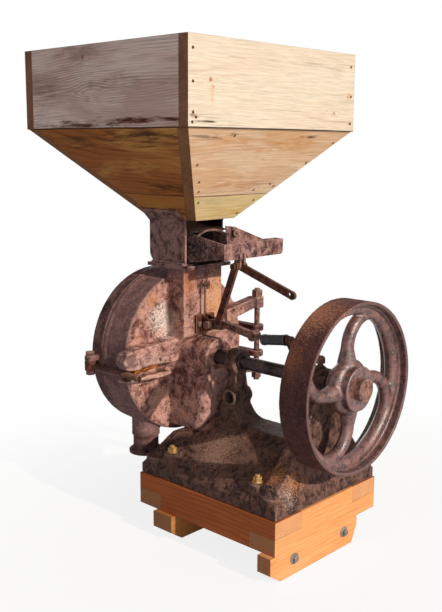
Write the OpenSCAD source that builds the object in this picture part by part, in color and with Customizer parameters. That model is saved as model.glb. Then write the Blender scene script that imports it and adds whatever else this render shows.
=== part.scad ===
// Belt-driven plate mill for grain: wooden hopper, shaken feed pan, cast drum with a
// hinged back cover, flat-belt pulley with curved arms, cast bed on a lapped wooden frame.
// X runs along the shaft towards the pulley, Z is up, and the origin is on the floor
// under the middle of the front foot. The modules are drawn from the middle of the
// wooden frame and set in place at the end. All sizes are in millimetres.

/* [Wooden frame] */
// Length of the frame along the shaft
frame_l = 400; // [392:4:440]
// Width of the frame across the shaft
frame_w = 350; // [340:5:380]
// Height of the lapped frame timbers
frame_t = 72; // [64:2:84]
// Thickness of the two long rails
rail_w = 84; // [74:2:94]
// Thickness of the cross timbers
bearer_w = 68; // [58:2:76]
// Height of the feet below the frame
foot_h = 58; // [50:2:80]
// Length of the feet across the shaft
foot_l = 297; // [270:3:315]
// Thickness of the front foot
foot_t = 34; // [28:1:40]
// How far the feet reach past the near rail
foot_out = 13; // [5:1:20]

/* [Cast bed] */
// Height of the upright rim of the bed
bed_rim = 24; // [18:1:30]
// Height of the seat that carries the casing
seat_h = 85; // [78:1:92]
// Height of the ridge that carries the bearings
ridge_h = 120; // [112:1:126]
// Wall thickness of the bed
bed_wall = 11; // [8:1:14]
// Diameter of the studs that hold the bed down
stud_d = 10; // [8:1:12]

/* [Shaft and bearings] */
// Height of the shaft above the wooden frame
axis_h = 253; // [246:1:262]
// Diameter of the shaft
shaft_d = 30; // [26:1:34]
// Radial clearance of every running fit
fit = 0.05; // [0.03:0.01:0.08]
// Outer diameter of the outer bearing housing
housing_d = 56; // [54:1:62]

/* [Pulley] */
// Diameter of the pulley over its tread
pulley_d = 356; // [330:2:370]
// Width of the tread
pulley_w = 69; // [60:1:76]
// Thickness of the rim
rim_t = 7; // [5:1:10]
// Diameter of the hub
hub_d = 94; // [80:2:104]
// Thickness of the curved arms
arm_d = 27; // [22:1:32]
// Number of curved arms
arm_count = 4; // [3:1:6]

/* [Grinding drum] */
// Outer diameter of the drum
drum_d = 384; // [360:4:392]
// Depth of the fixed front casing
casing_w = 78; // [74:2:90]
// Depth of the hinged back cover
cover_w = 48; // [40:2:60]
// Wall thickness of casing and cover
wall = 12; // [9:1:13]
// How far the drum face stands behind the end of the frame
drum_out = 27; // [24:1:35]
// Diameter of the grinding plates
plate_d = 300; // [260:4:312]
// Gap between the grinding plates at rest
plate_gap = 3; // [2.5:0.5:5]

/* [Feed] */
// Width of the cast feed column across the shaft
column_w = 124; // [116:2:132]
// Depth of the feed column along the shaft
column_t = 57; // [54:1:64]
// Height of the iron throat between column and hopper
throat_h = 103; // [96:1:112]
// Thickness of the iron throat plates
sheet_t = 5; // [4:1:7]
// Reach of the feed pan in front of the column
pan_reach = 112; // [104:2:120]
// Width of the feed pan
pan_w = 100; // [92:2:106]
// How far the pan's trough runs out to the far side
trough_out = 100; // [70:5:120]

/* [Hopper] */
// Outer length of the hopper box along the shaft
box_x = 516; // [460:4:560]
// Outer width of the hopper box across the shaft
box_y = 530; // [470:5:570]
// Height of the straight hopper box
box_h = 170; // [130:5:210]
// Thickness of the box boards
board_t = 25; // [20:1:30]
// Height of the sloping funnel
funnel_h = 197; // [170:1:230]
// Thickness of the funnel boards
funnel_t = 22; // [18:1:26]
// Outer length of the funnel mouth along the shaft
mouth_x = 152; // [146:2:160]

/* [Hidden] */

$fn = 64;

frame_z = foot_h + frame_t;
axis_z = frame_z + axis_h;
near_y = -frame_w / 2;
lap_z = foot_h + frame_t / 2;

shaft_r = shaft_d / 2;
drum_r = drum_d / 2;
face_x = -frame_l / 2 - drum_out;
joint_x = face_x - casing_w;
back_x = joint_x - cover_w;
flange_r = drum_r + 2;

column_x = face_x + column_t;
column_top = axis_z + drum_r + 13;
barrel_r = 44;
barrel_bore = 36;
barrel_x = face_x + 110;
column_wall = 11;
duct_w = column_w - 2 * column_wall - 2;
duct_t = column_t - 2 * column_wall;

bed_l = frame_l - 4;
bed_w = frame_w - 8;
hold_x = frame_l / 2 - bearer_w - stud_d / 2 - 1;
hold_y = bed_w / 2 - 27;
pad_h = ridge_h / 2 - 2;

neck_x = barrel_x + 55;
boss_d = shaft_d + 30;
boss_t = 30;
housing_x1 = frame_l / 2 - 1;
housing_x0 = housing_x1 - 58;
sleeve_d = shaft_d + 10;
collar_x = housing_x0 - 14;

pulley_x0 = housing_x1 + 6;
pulley_x1 = pulley_x0 + pulley_w;
arm_x = pulley_x0 + pulley_w / 2;
hub_x0 = arm_x - 28;
hub_x1 = pulley_x1 - 2;

plate_t = 20;
plate_x0 = face_x - wall;
runner_x0 = plate_x0 - plate_t - plate_gap;
runner_t = 20;
runner_hub = 14;

hinge_x = face_x + 27;
hinge_y = drum_r + 33;
hinge_d = 14;
arm_up_z = 25;
arm_low_z = -42;
lug_up_z = 88;
lug_low_z = -88;
latch_x = back_x + 20;
latch_y = -drum_r - 15;
latch_z = axis_z - 21;
bolt_d = 14;
bolt_notch = 6.2;
latch_pin_d = 10;
fork_t = 34;
fork_end = -drum_r - 28;
fork_hole_y = -114;

flange_t = 8;
throat_z = column_top + flange_t;
throat_x1 = column_x + 2;
throat_l = 117;
throat_x0 = throat_x1 - throat_l;
throat_y = column_w / 2;
mouth_z = throat_z + throat_h;
mouth_y = 2 * throat_y;
hopper_x = (throat_x0 + throat_x1) / 2 + 17;
box_z = mouth_z + funnel_h;
funnel_x = box_x - 6;
funnel_y = box_y - 6;
split_z = mouth_z + funnel_h * 0.28;

pan_x1 = column_x + pan_reach;
pan_x0 = column_x - 15;
pan_floor_x0 = throat_z + 4;
pan_slope = 0.157;
pan_floor_x1 = pan_floor_x0 + (pan_x1 - pan_x0) * pan_slope;
pan_lip = 31;
pan_t = 4;
pan_y = pan_w / 2;
trough_x0 = pan_x1 - 28;
pan_hinge_x = pan_x0 + 8;
pan_hinge_z = pan_floor_x0 + 16;
rod_d = 8;

pin_x = pan_x1 - 3;
pin_z = pan_floor_x1 - 20;
pin_d = 9;
rocker_x = column_x + 27;
rocker_z = axis_z + 74;
rocker_pin_d = 10;
link_x = rocker_x + 31;
link_z = rocker_z + 11;
lever_t = 6;

wood_pale = [0.80, 0.62, 0.42];
wood_yellow = [0.86, 0.70, 0.40];
wood_orange = [0.72, 0.42, 0.20];
rust = [0.40, 0.22, 0.16];
dark_iron = [0.24, 0.13, 0.11];
cast_pink = [0.56, 0.38, 0.33];
bright_iron = [0.45, 0.42, 0.40];
brass = [0.85, 0.68, 0.30];
rubber = [0.05, 0.05, 0.06];

// A round bar along X
module bar_x(x0, x1, d)
    translate([x0, 0, 0]) rotate([0, 90, 0]) cylinder(d = d, h = x1 - x0);

// A round bar along Y
module bar_y(y0, y1, d)
    translate([0, y1, 0]) rotate([90, 0, 0]) cylinder(d = d, h = y1 - y0);

// An outline drawn in X and Z, given its thickness along Y
module side_plate(y0, y1)
    translate([0, y1, 0]) rotate([90, 0, 0]) linear_extrude(y1 - y0) children();

// An outline drawn in Y and Z, given its thickness along X
module cross_plate(x0, x1)
    translate([x0, 0, 0]) rotate([90, 0, 90]) linear_extrude(x1 - x0) children();

// A turned shape about the shaft, drawn as radius and X
module turned() translate([0, 0, axis_z]) rotate([0, 90, 0]) rotate_extrude() children();

// A flat bar between two points, whose forged ends swell a little past its straight sides
waist = 0.97;
module slot_2d(a, b, r) {
    run = norm(b - a);
    translate(a) circle(r);
    translate(b) circle(r);
    translate(a) rotate(atan2(b[1] - a[1], b[0] - a[0]))
        translate([0, -r * waist]) square([run, 2 * r * waist]);
}

module rounded_2d(w, h, r)
    for (s = [0, 1]) square([w - 2 * r * s, h - 2 * r * (1 - s)], center = true);

// A rectangle with round corners about its middle
module pad_2d(w, h, r) {
    rounded_2d(w, h, r);
    for (sx = [-1, 1], sy = [-1, 1]) translate([sx * (w / 2 - r), sy * (h / 2 - r)]) circle(r);
}

module hex_nut(af, h, bore)
    difference() {
        cylinder(d = af / cos(30), h = h, $fn = 6);
        translate([0, 0, -1]) cylinder(d = bore, h = h + 2);
    }

module hex_head(af, h) cylinder(d = af / cos(30), h = h, $fn = 6);

// A concave sweep from one point up to another, as a list of points
function sweep(a, b, p, n = 10) =
    [for (i = [0:n]) [a[0] + (b[0] - a[0]) * i / n, a[1] + (b[1] - a[1]) * pow(i / n, p)]];
function reversed(v) = [for (i = [len(v) - 1:-1:0]) v[i]];
function arc(c, r, a0, a1, n = 10) =
    [for (i = [0:n]) c + r * [cos(a0 + (a1 - a0) * i / n), sin(a0 + (a1 - a0) * i / n)]];

// Wooden frame

module stud_holes(z0, z1, d)
    for (sx = [-1, 1], sy = [-1, 1])
        translate([sx * hold_x, sy * hold_y, z0]) cylinder(d = d, h = z1 - z0);

module rail(side) {
    y0 = side < 0 ? near_y : -near_y - rail_w;
    difference() {
        translate([-frame_l / 2, y0, foot_h]) cube([frame_l, rail_w, frame_t]);
        for (x = [-frame_l / 2 - 1, frame_l / 2 - bearer_w])
            translate([x, y0 - 1, foot_h - 1]) cube([bearer_w + 1, rail_w + 2, frame_t / 2 + 1]);
        stud_holes(foot_h + 10, frame_z + 1, stud_d);
    }
}

module rail_near() color(wood_orange) rail(-1);
module rail_far() color(wood_orange) rail(1);

// The lapped upper part of a cross timber, drawn in Y and Z
module cross_2d() {
    translate([near_y, foot_h]) square([frame_w, frame_t / 2]);
    translate([near_y + rail_w, foot_h]) square([frame_w - 2 * rail_w, frame_t]);
}

// A foot with its two lower corners cut off
module foot_2d() {
    y0 = near_y - foot_out;
    polygon([[y0, 22], [y0 + 33, 0], [y0 + foot_l - 18, 0], [y0 + foot_l, 36],
        [y0 + foot_l, foot_h], [y0, foot_h]]);
}

module front_bearer()
    color(wood_orange) difference() {
        union() {
            cross_plate(frame_l / 2 - bearer_w, frame_l / 2) cross_2d();
            cross_plate(frame_l / 2 - foot_t, frame_l / 2) foot_2d();
        }
        for (p = coach_places()) translate([0, p[0], p[1]]) bar_x(frame_l / 2 - foot_t + 4, frame_l / 2 + 1, 8);
    }

module rear_cross_rail()
    color(wood_orange) cross_plate(-frame_l / 2, -frame_l / 2 + bearer_w) cross_2d();

// The rear foot is a block set in from the end of the frame
skid_in = bearer_w - 10;
skid_w = 57;
module rear_skid()
    color(wood_orange) cross_plate(-frame_l / 2 + skid_in, -frame_l / 2 + skid_in + skid_w)
        foot_2d();

function coach_places() = [[near_y + 62, foot_h - 23], [near_y + foot_l - 62, foot_h - 23]];
module coach_bolts()
    color(bright_iron) for (p = coach_places()) translate([0, p[0], p[1]]) {
        bar_x(frame_l / 2 - foot_t + 4, frame_l / 2, 8);
        bar_x(frame_l / 2, frame_l / 2 + 2, 24);
        translate([frame_l / 2 + 2, 0, 0]) rotate([0, 90, 0]) hex_head(13, 6);
    }

// Cast bed

// Height of the bed along the shaft, inset by the wall where it is hollow
function bed_side(t) =
    let (x0 = -bed_l / 2 + t, x1 = bed_l / 2 - t, s = seat_h - t, r = ridge_h - t, m = bed_rim - t)
    concat([[x0, -t], [x0, m]], sweep([x0, m], [x0 + 20, s], 1.5), [[barrel_x + 1 + t, s]],
        sweep([barrel_x + 1 + t, s], [barrel_x + 16 + t, r], 1.3, 4),
        reversed(sweep([x1, m], [x1 - 16, r], 1.4)), [[x1, m], [x1, -t]]);

function bed_cross(t) =
    let (y = bed_w / 2 - t, r = ridge_h - t, m = bed_rim - t)
    concat([[-y, -t]], sweep([-y, m], [-38, r], 0.86), reversed(sweep([y, m], [38, r], 0.86)),
        [[y, -t]]);

module bed_body(t)
    translate([0, 0, frame_z]) intersection() {
        side_plate(-bed_w, bed_w) polygon(bed_side(t));
        cross_plate(-bed_l, bed_l) polygon(bed_cross(t));
    }

// A round boss for the hold-down nut, and a low foot that runs out to the bed's corner
boss_r = 18;
foot_r = 26;
corner_h = 42;
module corner_pad(sx, sy)
    translate([0, 0, frame_z]) {
        translate([sx * hold_x, sy * hold_y, 0]) cylinder(r = boss_r, h = pad_h);
        linear_extrude(corner_h) slot_2d([sx * hold_x, sy * (hold_y - foot_r / 2)],
            [sx * (bed_l / 2 - foot_r), sy * (bed_w / 2 - foot_r)], foot_r);
    }

// Slender curved horn that carries the inner bearing
horn_r = 50;
module inner_horn_side()
    polygon(concat([[neck_x - 26, ridge_h - 20]],
        reversed(sweep([neck_x - 11, axis_h - 16], [neck_x - 26, ridge_h - 2], 1.5)),
        sweep([neck_x + 12, axis_h - 16], [neck_x + 15, ridge_h + horn_r], 1),
        arc([neck_x + 15 + horn_r, ridge_h + horn_r], horn_r, 180, 262, 12),
        [[neck_x + 15 + horn_r, ridge_h - 20]]));

module inner_horn()
    translate([0, 0, frame_z]) intersection() {
        side_plate(-40, 40) inner_horn_side();
        cross_plate(neck_x - 40, neck_x + 100)
            polygon(concat([[-34, ridge_h - 21]], sweep([-34, ridge_h - 4], [-14, axis_h - 10], 0.8),
                reversed(sweep([34, ridge_h - 4], [14, axis_h - 10], 0.8)), [[34, ridge_h - 21]]));
    }

// Broad gable that rises from the front end of the bed to the outer bearing
gable_y = bed_w / 2 - 16;
gable_top = axis_h - 12;
module outer_pedestal()
    translate([0, 0, frame_z]) {
        intersection() {
            side_plate(-bed_w, bed_w)
                polygon([[housing_x0 + 6, 20], [housing_x0 + 12, gable_top], [housing_x1 - 13, gable_top],
                    [housing_x1 - 13, ridge_h], [housing_x1 - 6, 20]]);
            cross_plate(housing_x0 - 20, bed_l / 2)
                polygon(concat([[-gable_y, 20]], sweep([-gable_y, pad_h], [-17, gable_top + 2], 1.35),
                    reversed(sweep([gable_y, pad_h], [17, gable_top + 2], 1.35)), [[gable_y, 20]]));
        }
        side_plate(-14, 14)
            polygon(concat([[housing_x0 - 67, ridge_h - 14]],
                sweep([housing_x0 - 67, ridge_h - 2], [housing_x0 + 10, gable_top], 2.4),
                [[housing_x0 + 10, ridge_h - 14]]));
    }

eye_z = axis_z - 80;
module bed_casting()
    color(rust) difference() {
        union() {
            difference() {
                bed_body(0);
                bed_body(bed_wall);
            }
            for (sx = [-1, 1], sy = [-1, 1]) corner_pad(sx, sy);
            inner_horn();
            outer_pedestal();
            translate([0, 0, axis_z]) {
                bar_x(neck_x - boss_t / 2, neck_x + boss_t / 2, boss_d);
                bar_x(housing_x0, housing_x1, housing_d);
            }
            translate([neck_x + 1, 0, eye_z]) bar_y(-31, 31, 40);
            translate([(housing_x0 + housing_x1) / 2, 0, axis_z]) cylinder(d = 20, h = housing_d / 2 + 4);
        }
        translate([0, 0, axis_z]) {
            bar_x(neck_x - boss_t, neck_x + boss_t, shaft_d + 8);
            bar_x(housing_x0 - 1, housing_x1 + 1, sleeve_d + 2 * fit);
        }
        translate([neck_x + 1, 0, eye_z]) bar_y(-32, 32, 25);
        stud_holes(frame_z - 1, frame_z + pad_h + 1, stud_d + 2);
        casing_bolt_places() translate([0, 0, frame_z + seat_h - bed_wall - 30])
            cylinder(d = 13, h = bed_wall + 40);
        translate([(housing_x0 + housing_x1) / 2, 0, axis_z]) cylinder(d = 8, h = housing_d);
    }

module hold_down_studs()
    color(brass) stud_holes(foot_h + 10, frame_z + pad_h + 16, stud_d);

module hold_down_nuts()
    color(brass) for (sx = [-1, 1], sy = [-1, 1])
        translate([sx * hold_x, sy * hold_y, frame_z + pad_h]) {
            difference() {
                cylinder(d = stud_d * 2.3, h = 2);
                translate([0, 0, -1]) cylinder(d = stud_d, h = 4);
            }
            translate([0, 0, 2]) hex_nut(stud_d * 1.7, 9, stud_d);
        }

// Bearings and adjuster

module inner_bearing_bush()
    color(brass) translate([0, 0, axis_z]) difference() {
        bar_x(neck_x - boss_t / 2 - 3, neck_x + boss_t / 2 + 3, shaft_d + 8);
        bar_x(neck_x - boss_t, neck_x + boss_t, shaft_d + 2 * fit);
    }

// Screwed sleeve whose collar the adjusting lever is clamped on
module adjusting_sleeve()
    color(bright_iron) translate([0, 0, axis_z]) difference() {
        union() {
            bar_x(collar_x, housing_x1 + 2, sleeve_d);
            bar_x(collar_x - 3, collar_x, sleeve_d + 8);
        }
        bar_x(collar_x - 5, housing_x1 + 4, shaft_d + 2 * fit);
    }

grip_y = -56;
grip_z = 88;
grip_tilt = 8;
lever_w = 11;
module adjusting_lever()
    color(dark_iron) translate([0, 0, axis_z]) {
        difference() {
            union() {
                bar_x(collar_x, collar_x + lever_w, sleeve_d + 16);
                cross_plate(collar_x, collar_x + lever_w)
                    slot_2d([grip_y * 0.2, grip_z * 0.2], [grip_y, grip_z], 9);
            }
            bar_x(collar_x - 1, collar_x + lever_w + 1, sleeve_d);
        }
        translate([collar_x + 5, grip_y, grip_z]) rotate([0, -90 - grip_tilt, 0]) cylinder(d = 12, h = 74);
    }

module adjusting_grip()
    color(rubber) translate([collar_x + 5, grip_y, axis_z + grip_z]) rotate([0, -90 - grip_tilt, 0])
        difference() {
            translate([0, 0, 8]) union() {
                cylinder(d = 21, h = 62);
                cylinder(d = 24, h = 5);
                translate([0, 0, 57]) cylinder(d = 24, h = 8);
            }
            cylinder(d = 12, h = 74);
        }

module thrust_ring()
    color(brass) translate([0, 0, axis_z]) difference() {
        bar_x(collar_x - 8, collar_x - 3, sleeve_d + 8);
        bar_x(collar_x - 9, collar_x, shaft_d + 2 * fit);
    }

module shaft_collar()
    color(dark_iron) translate([0, 0, axis_z]) difference() {
        bar_x(collar_x - 24, collar_x - 8, sleeve_d + 10);
        bar_x(collar_x - 25, collar_x, shaft_d);
        translate([collar_x - 16, 0, 0]) cylinder(d = 7, h = sleeve_d);
    }

module oil_cup()
    color([0.50, 0.26, 0.20]) translate([(housing_x0 + housing_x1) / 2, 0, axis_z + housing_d / 2 + 4])
        difference() {
            union() {
                cylinder(d = 12, h = 5);
                translate([0, 0, 5]) cylinder(d = 20, h = 11);
                translate([0, 0, 16]) cylinder(d1 = 20, d2 = 12, h = 4);
            }
            translate([0, 0, -1]) cylinder(d = 5, h = 8);
            translate([0, 0, 6.9]) cylinder(d = 14, h = 8);
        }

// Shaft and pulley

module key_way(h) translate([hub_x0 + 4, -4, axis_z + shaft_r - 4]) cube([50, 8, h]);

module main_shaft()
    color(dark_iron) difference() {
        translate([0, 0, axis_z]) {
            bar_x(runner_x0, hub_x1, shaft_d);
            bar_x(runner_x0 - runner_t - runner_hub - 14, runner_x0, shaft_d - 8);
        }
        key_way(8);
    }

module pulley_key() color(bright_iron) key_way(7);

module shaft_end_disc()
    color(cast_pink) translate([0, 0, axis_z]) {
        bar_x(hub_x1, hub_x1 + 13, shaft_d + 16);
        bar_x(hub_x1 + 13, hub_x1 + 15, shaft_d + 12);
    }

// One curved arm: it leaves the hub straight, bends round clockwise and runs into the rib
// on the inside of the rim, whose centre line it meets nearly along its own direction
arm_shift = -5;
arm_root = 78;
rib_r = pulley_d / 2 - rim_t - 8;
arm_bend = (rib_r * rib_r - arm_root * arm_root - arm_shift * arm_shift) / (2 * (rib_r + arm_shift));
arm_turn = 112;
module curved_arm()
    translate([arm_x, 0, 0]) rotate([90, 0, 90]) {
        translate([arm_shift, hub_d * 0.4, 0]) rotate([-90, 0, 0])
            cylinder(d1 = arm_d + 18, d2 = arm_d + 1, h = arm_root + 2 - hub_d * 0.4);
        translate([arm_bend + arm_shift, arm_root, 0]) rotate([0, 0, 180 - arm_turn])
            rotate_extrude(angle = arm_turn) translate([arm_bend, 0]) circle(d = arm_d);
    }

module pulley()
    color(rust) difference() {
        union() {
            turned() union() {
                translate([pulley_d / 2 - rim_t, pulley_x0]) square([rim_t, pulley_w]);
                intersection() {
                    translate([rib_r, arm_x]) circle(d = arm_d + 4);
                    translate([0, pulley_x0]) square([pulley_d / 2 - 1, pulley_w]);
                }
            }
            turned() union() {
                polygon([[0, hub_x0], [hub_d / 2 - 8, hub_x0], [hub_d / 2, hub_x0 + 8],
                    [hub_d / 2, hub_x1 - 2], [hub_d / 2 - 2, hub_x1], [0, hub_x1]]);
                translate([hub_d / 2 - 5, arm_x]) circle(d = arm_d + 6);
            }
            translate([0, 0, axis_z]) for (i = [0:arm_count - 1])
                rotate([-i * 360 / arm_count, 0, 0]) curved_arm();
        }
        translate([0, 0, axis_z]) bar_x(hub_x0 - 1, pulley_x1 + 20, shaft_d);
        key_way(7);
    }

// A short feed worm that pushes grain from the column to the plates
worm_x0 = face_x - 4;
worm_x1 = barrel_x - 22;
module feed_screw()
    color(dark_iron) translate([0, 0, axis_z]) difference() {
        union() {
            bar_x(worm_x0, worm_x1, shaft_d + 10);
            translate([worm_x0 + 3, 0, 0]) rotate([0, 90, 0])
                linear_extrude(worm_x1 - worm_x0 - 6, twist = 540, slices = 36, $fn = 8)
                    translate([shaft_r + 2, -4]) square([barrel_bore - 3 - shaft_r - 2, 8]);
        }
        bar_x(worm_x0 - 1, worm_x1 + 1, shaft_d);
    }

// Drum, barrel and feed column

module casing_bolt_places()
    for (x = [barrel_x - 38, barrel_x - 13], sy = [-1, 1]) translate([x, sy * 30, 0]) children();

seat_y = 60;

// Upside-down U of the barrel that stands on the bed
module barrel_outer()
    intersection() {
        cross_plate(face_x - 1, barrel_x) union() {
            translate([0, axis_z]) circle(barrel_r);
            polygon([[-barrel_r, axis_z], [-seat_y, frame_z + seat_h + 20], [-seat_y, frame_z + seat_h],
                [seat_y, frame_z + seat_h], [seat_y, frame_z + seat_h + 20], [barrel_r, axis_z]]);
        }
        translate([(face_x - 40 + barrel_x) / 2, 0, frame_z]) linear_extrude(axis_h + barrel_r + 1)
            pad_2d(barrel_x - face_x + 40, 2 * seat_y, 24);
    }

// Feed column, whose front sweeps back to the drum behind the barrel
module column()
    side_plate(-column_w / 2, column_w / 2)
        polygon(concat([[face_x - 1, axis_z - 30]], sweep([face_x + 6, axis_z - 30], [column_x, axis_z + 48], 0.6),
            [[column_x, column_top], [face_x - 1, column_top]]));

// Hollow of the column: a wide shaft above, and a narrower mouth over the worm
duct_low_w = 2 * barrel_bore - 12;
duct_low_h = 50;
module duct()
    translate([column_x - column_wall - duct_t, 0, axis_z]) {
        translate([0, -duct_w / 2, duct_low_h]) cube([duct_t, duct_w, column_top]);
        translate([0, -duct_low_w / 2, 0]) cube([duct_t - 10, duct_low_w, duct_low_h + 1]);
    }

// The forked lug that the swing bolt lies in
module latch_fork() {
    cross_plate(face_x - 1, face_x + fork_t)
        polygon(concat([[-column_w / 2 + 5, axis_z + 42], [fork_end + 34, axis_z + 34]],
            arc([fork_end + 20, axis_z + 11], 21, 75, 250, 8),
            [[-column_w / 2 + 5, axis_z - 10]]));
    cross_plate(face_x - 1, face_x + fork_t - 3)
        polygon([[-column_w / 2 - 16, axis_z - 31], [fork_end + 6, axis_z - 33],
            [fork_end + 3, axis_z - 39], [-column_w / 2 - 16, axis_z - 41]]);
}

module hinge_lug(z0, h, drop)
    difference() {
        union() {
            cross_plate(face_x - 1, hinge_x + 3)
                polygon([[drum_r - 80, z0 - drop], [hinge_y, z0 + 2], [hinge_y, z0 + h - 2],
                    [drum_r - 80, z0 + h - drop]]);
            translate([hinge_x - 13, hinge_y - 13, z0]) cube([26, 26, h]);
        }
        translate([hinge_x, hinge_y, z0 - 1]) cylinder(d = hinge_d + 2 * fit, h = h + 2);
    }

// The spout hangs from a boss that is cast under the drum
spout_x = joint_x + 35;
spout_y = -94;
spout_d = 60;
spout_bore = 52;
spout_z = axis_z - drum_r + 4;
spout_h = 52;
boss_w = 66;
module front_casing()
    color(cast_pink) difference() {
        union() {
            difference() {
                turned() union() {
                    translate([0, joint_x]) square([drum_r, casing_w - 4]);
                    translate([0, joint_x]) square([drum_r - 4, casing_w]);
                    translate([drum_r - 4, face_x - 4]) circle(4);
                    translate([0, joint_x]) square([flange_r, 10]);
                }
                turned() translate([0, joint_x - 1]) square([drum_r - wall, casing_w - wall + 1]);
            }
            barrel_outer();
            column();
            latch_fork();
            hinge_lug(axis_z + lug_up_z - 12, 30, 22);
            hinge_lug(axis_z + lug_low_z - 6, 12, -14);
            difference() {
                translate([spout_x, spout_y, spout_z]) cylinder(d = boss_w, h = drum_r / 3);
                turned() translate([0, joint_x - 1]) square([drum_r - wall, casing_w + 2]);
            }
        }
        translate([0, 0, axis_z]) {
            bar_x(face_x - wall - 1, barrel_x - 14, 2 * barrel_bore);
            bar_x(barrel_x - 16, barrel_x + 1, shaft_d + 4);
        }
        duct();
        translate([joint_x - 1, -drum_r - fork_t, latch_z - bolt_d / 2 - 1])
            cube([19, fork_t + bolt_notch, bolt_d + 2]);
        translate([spout_x, spout_y, spout_z - 1]) cylinder(d = spout_bore + 2, h = drum_r / 3 + 2);
        translate([0, fork_hole_y, latch_z + 20]) bar_x(face_x, column_x, 8);
        casing_bolt_places() translate([0, 0, frame_z + seat_h - 1]) cylinder(d = 12, h = 25);
        for (i = [0:5]) rotate_about_shaft(i * 60 + 30)
            translate([0, plate_d / 2 - 22, axis_z]) bar_x(face_x - wall - 1, face_x - wall + 8, 8);
        for (s = [-1, 1]) translate([0, s * rocker_bolt_y, rocker_z])
            bar_x(column_x - 9, column_x + 1, 6);
        for (p = flange_bolt_places()) translate([p[0], p[1], column_top - 14]) cylinder(d = 6, h = 16);
    }

module rotate_about_shaft(a)
    translate([0, 0, axis_z]) rotate([a, 0, 0]) translate([0, 0, -axis_z]) children();

module casing_bolts()
    color(dark_iron) casing_bolt_places() translate([0, 0, frame_z + seat_h - bed_wall]) {
        cylinder(d = 12, h = bed_wall + 22);
        translate([0, 0, -8]) hex_head(19, 8);
    }

// Furrows cut across a grinding face, repeated round it
module furrows(x, depth)
    for (i = [0:11]) rotate_about_shaft(i * 30)
        translate([x - depth, -4, axis_z + 64]) rotate([14, 0, 0]) cube([2 * depth, 7, plate_d]);

module fixed_plate()
    color(bright_iron) difference() {
        turned() translate([barrel_bore + 4, plate_x0 - plate_t])
            square([plate_d / 2 - barrel_bore - 4, plate_t]);
        for (i = [0:5]) rotate_about_shaft(i * 60 + 30) translate([0, plate_d / 2 - 22, axis_z]) {
            bar_x(plate_x0 - plate_t - 1, plate_x0 + 1, 8);
            bar_x(plate_x0 - plate_t - 1, plate_x0 - plate_t + 9, 15);
        }
        furrows(plate_x0 - plate_t, 3);
    }

module plate_screws()
    color(dark_iron) for (i = [0:5]) rotate_about_shaft(i * 60 + 30)
        translate([0, plate_d / 2 - 22, axis_z]) {
            bar_x(plate_x0 - plate_t + 5, plate_x0 + 8, 8);
            bar_x(plate_x0 - plate_t + 5, plate_x0 - plate_t + 9, 15);
        }

module runner_plate()
    color(bright_iron) difference() {
        turned() {
            translate([shaft_r - 4, runner_x0 - runner_t]) square([plate_d / 2 - shaft_r + 4, runner_t]);
            translate([shaft_r - 4, runner_x0 - runner_t - runner_hub]) square([28, runner_hub]);
        }
        furrows(runner_x0, 3);
    }

module runner_nut()
    color(dark_iron) translate([runner_x0 - runner_t - runner_hub - 12, 0, axis_z])
        rotate([0, 90, 0]) hex_nut(36, 12, shaft_d - 8);

// Back cover, its hinge and its latch

module door_arm(z)
    translate([0, 0, axis_z + z - 8]) linear_extrude(16) difference() {
        union() {
            translate([back_x + 6, drum_r - 40]) square([22, 58]);
            translate([back_x + 6, drum_r + 16]) square([hinge_x - back_x - 6, 22]);
            translate([hinge_x, hinge_y]) circle(17);
        }
        translate([hinge_x, hinge_y]) circle(hinge_d / 2 + fit);
    }

lug_t = 13;
module rear_cover()
    color(rust) difference() {
        union() {
            difference() {
                turned() union() {
                    translate([0, back_x]) square([drum_r - 14, cover_w]);
                    translate([0, back_x + 14]) square([drum_r, cover_w - 14]);
                    translate([drum_r - 14, back_x + 14]) circle(14);
                    translate([0, joint_x - 10]) square([flange_r, 10]);
                }
                turned() translate([0, back_x + wall]) square([drum_r - wall, cover_w]);
            }
            turned() translate([0, back_x - 5]) square([46, 6]);
            difference() {
                union() {
                    door_arm(arm_up_z);
                    door_arm(arm_low_z);
                }
                turned() translate([0, back_x + 6]) square([drum_r - 6, cover_w + 60]);
            }
            translate([0, 0, latch_z + 12]) linear_extrude(lug_t)
                slot_2d([latch_x, latch_y], [latch_x, -drum_r + wall / 2], 13);
        }
        translate([latch_x, latch_y, latch_z]) cylinder(d = latch_pin_d, h = 40);
        turned() translate([0, back_x + wall]) square([drum_r - wall, cover_w]);
    }

module hinge_pin()
    color(cast_pink) translate([hinge_x, hinge_y, axis_z + lug_low_z - 24])
        cylinder(d = hinge_d, h = lug_up_z - lug_low_z + 62);

module hinge_nuts()
    color(rust) translate([hinge_x, hinge_y, axis_z]) {
        translate([0, 0, lug_up_z + 18]) hex_nut(24, 15, hinge_d);
        translate([0, 0, lug_low_z - 18]) hex_nut(22, 12, hinge_d);
    }

module latch_pin()
    color(cast_pink) translate([latch_x, latch_y, latch_z]) {
        translate([0, 0, -22]) cylinder(d = latch_pin_d, h = 34 + lug_t);
        translate([0, 0, 12 + lug_t]) cylinder(d = 20, h = 8);
        translate([0, 0, -21]) hex_head(18, 10);
    }

bolt_l = 170;
module swing_bolt()
    color(dark_iron) translate([latch_x, latch_y, latch_z]) difference() {
        union() {
            translate([0, 0, -10.5]) cylinder(d = 26, h = 22);
            bar_x(0, bolt_l, bolt_d);
        }
        translate([0, 0, -12]) cylinder(d = latch_pin_d + 2 * fit, h = 24);
    }

module discharge_spout()
    color(dark_iron) translate([spout_x, spout_y, spout_z - spout_h]) difference() {
        union() {
            cylinder(d = spout_d, h = spout_h);
            translate([0, 0, spout_h - 8]) cylinder(d = boss_w, h = 8);
            cylinder(d = spout_d + 20, h = 6);
            translate([0, 0, 6]) cylinder(d1 = spout_d + 20, d2 = spout_d, h = 9);
        }
        translate([0, 0, -1]) cylinder(d = spout_bore, h = spout_h + 2);
    }

// Throat between column and hopper

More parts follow.
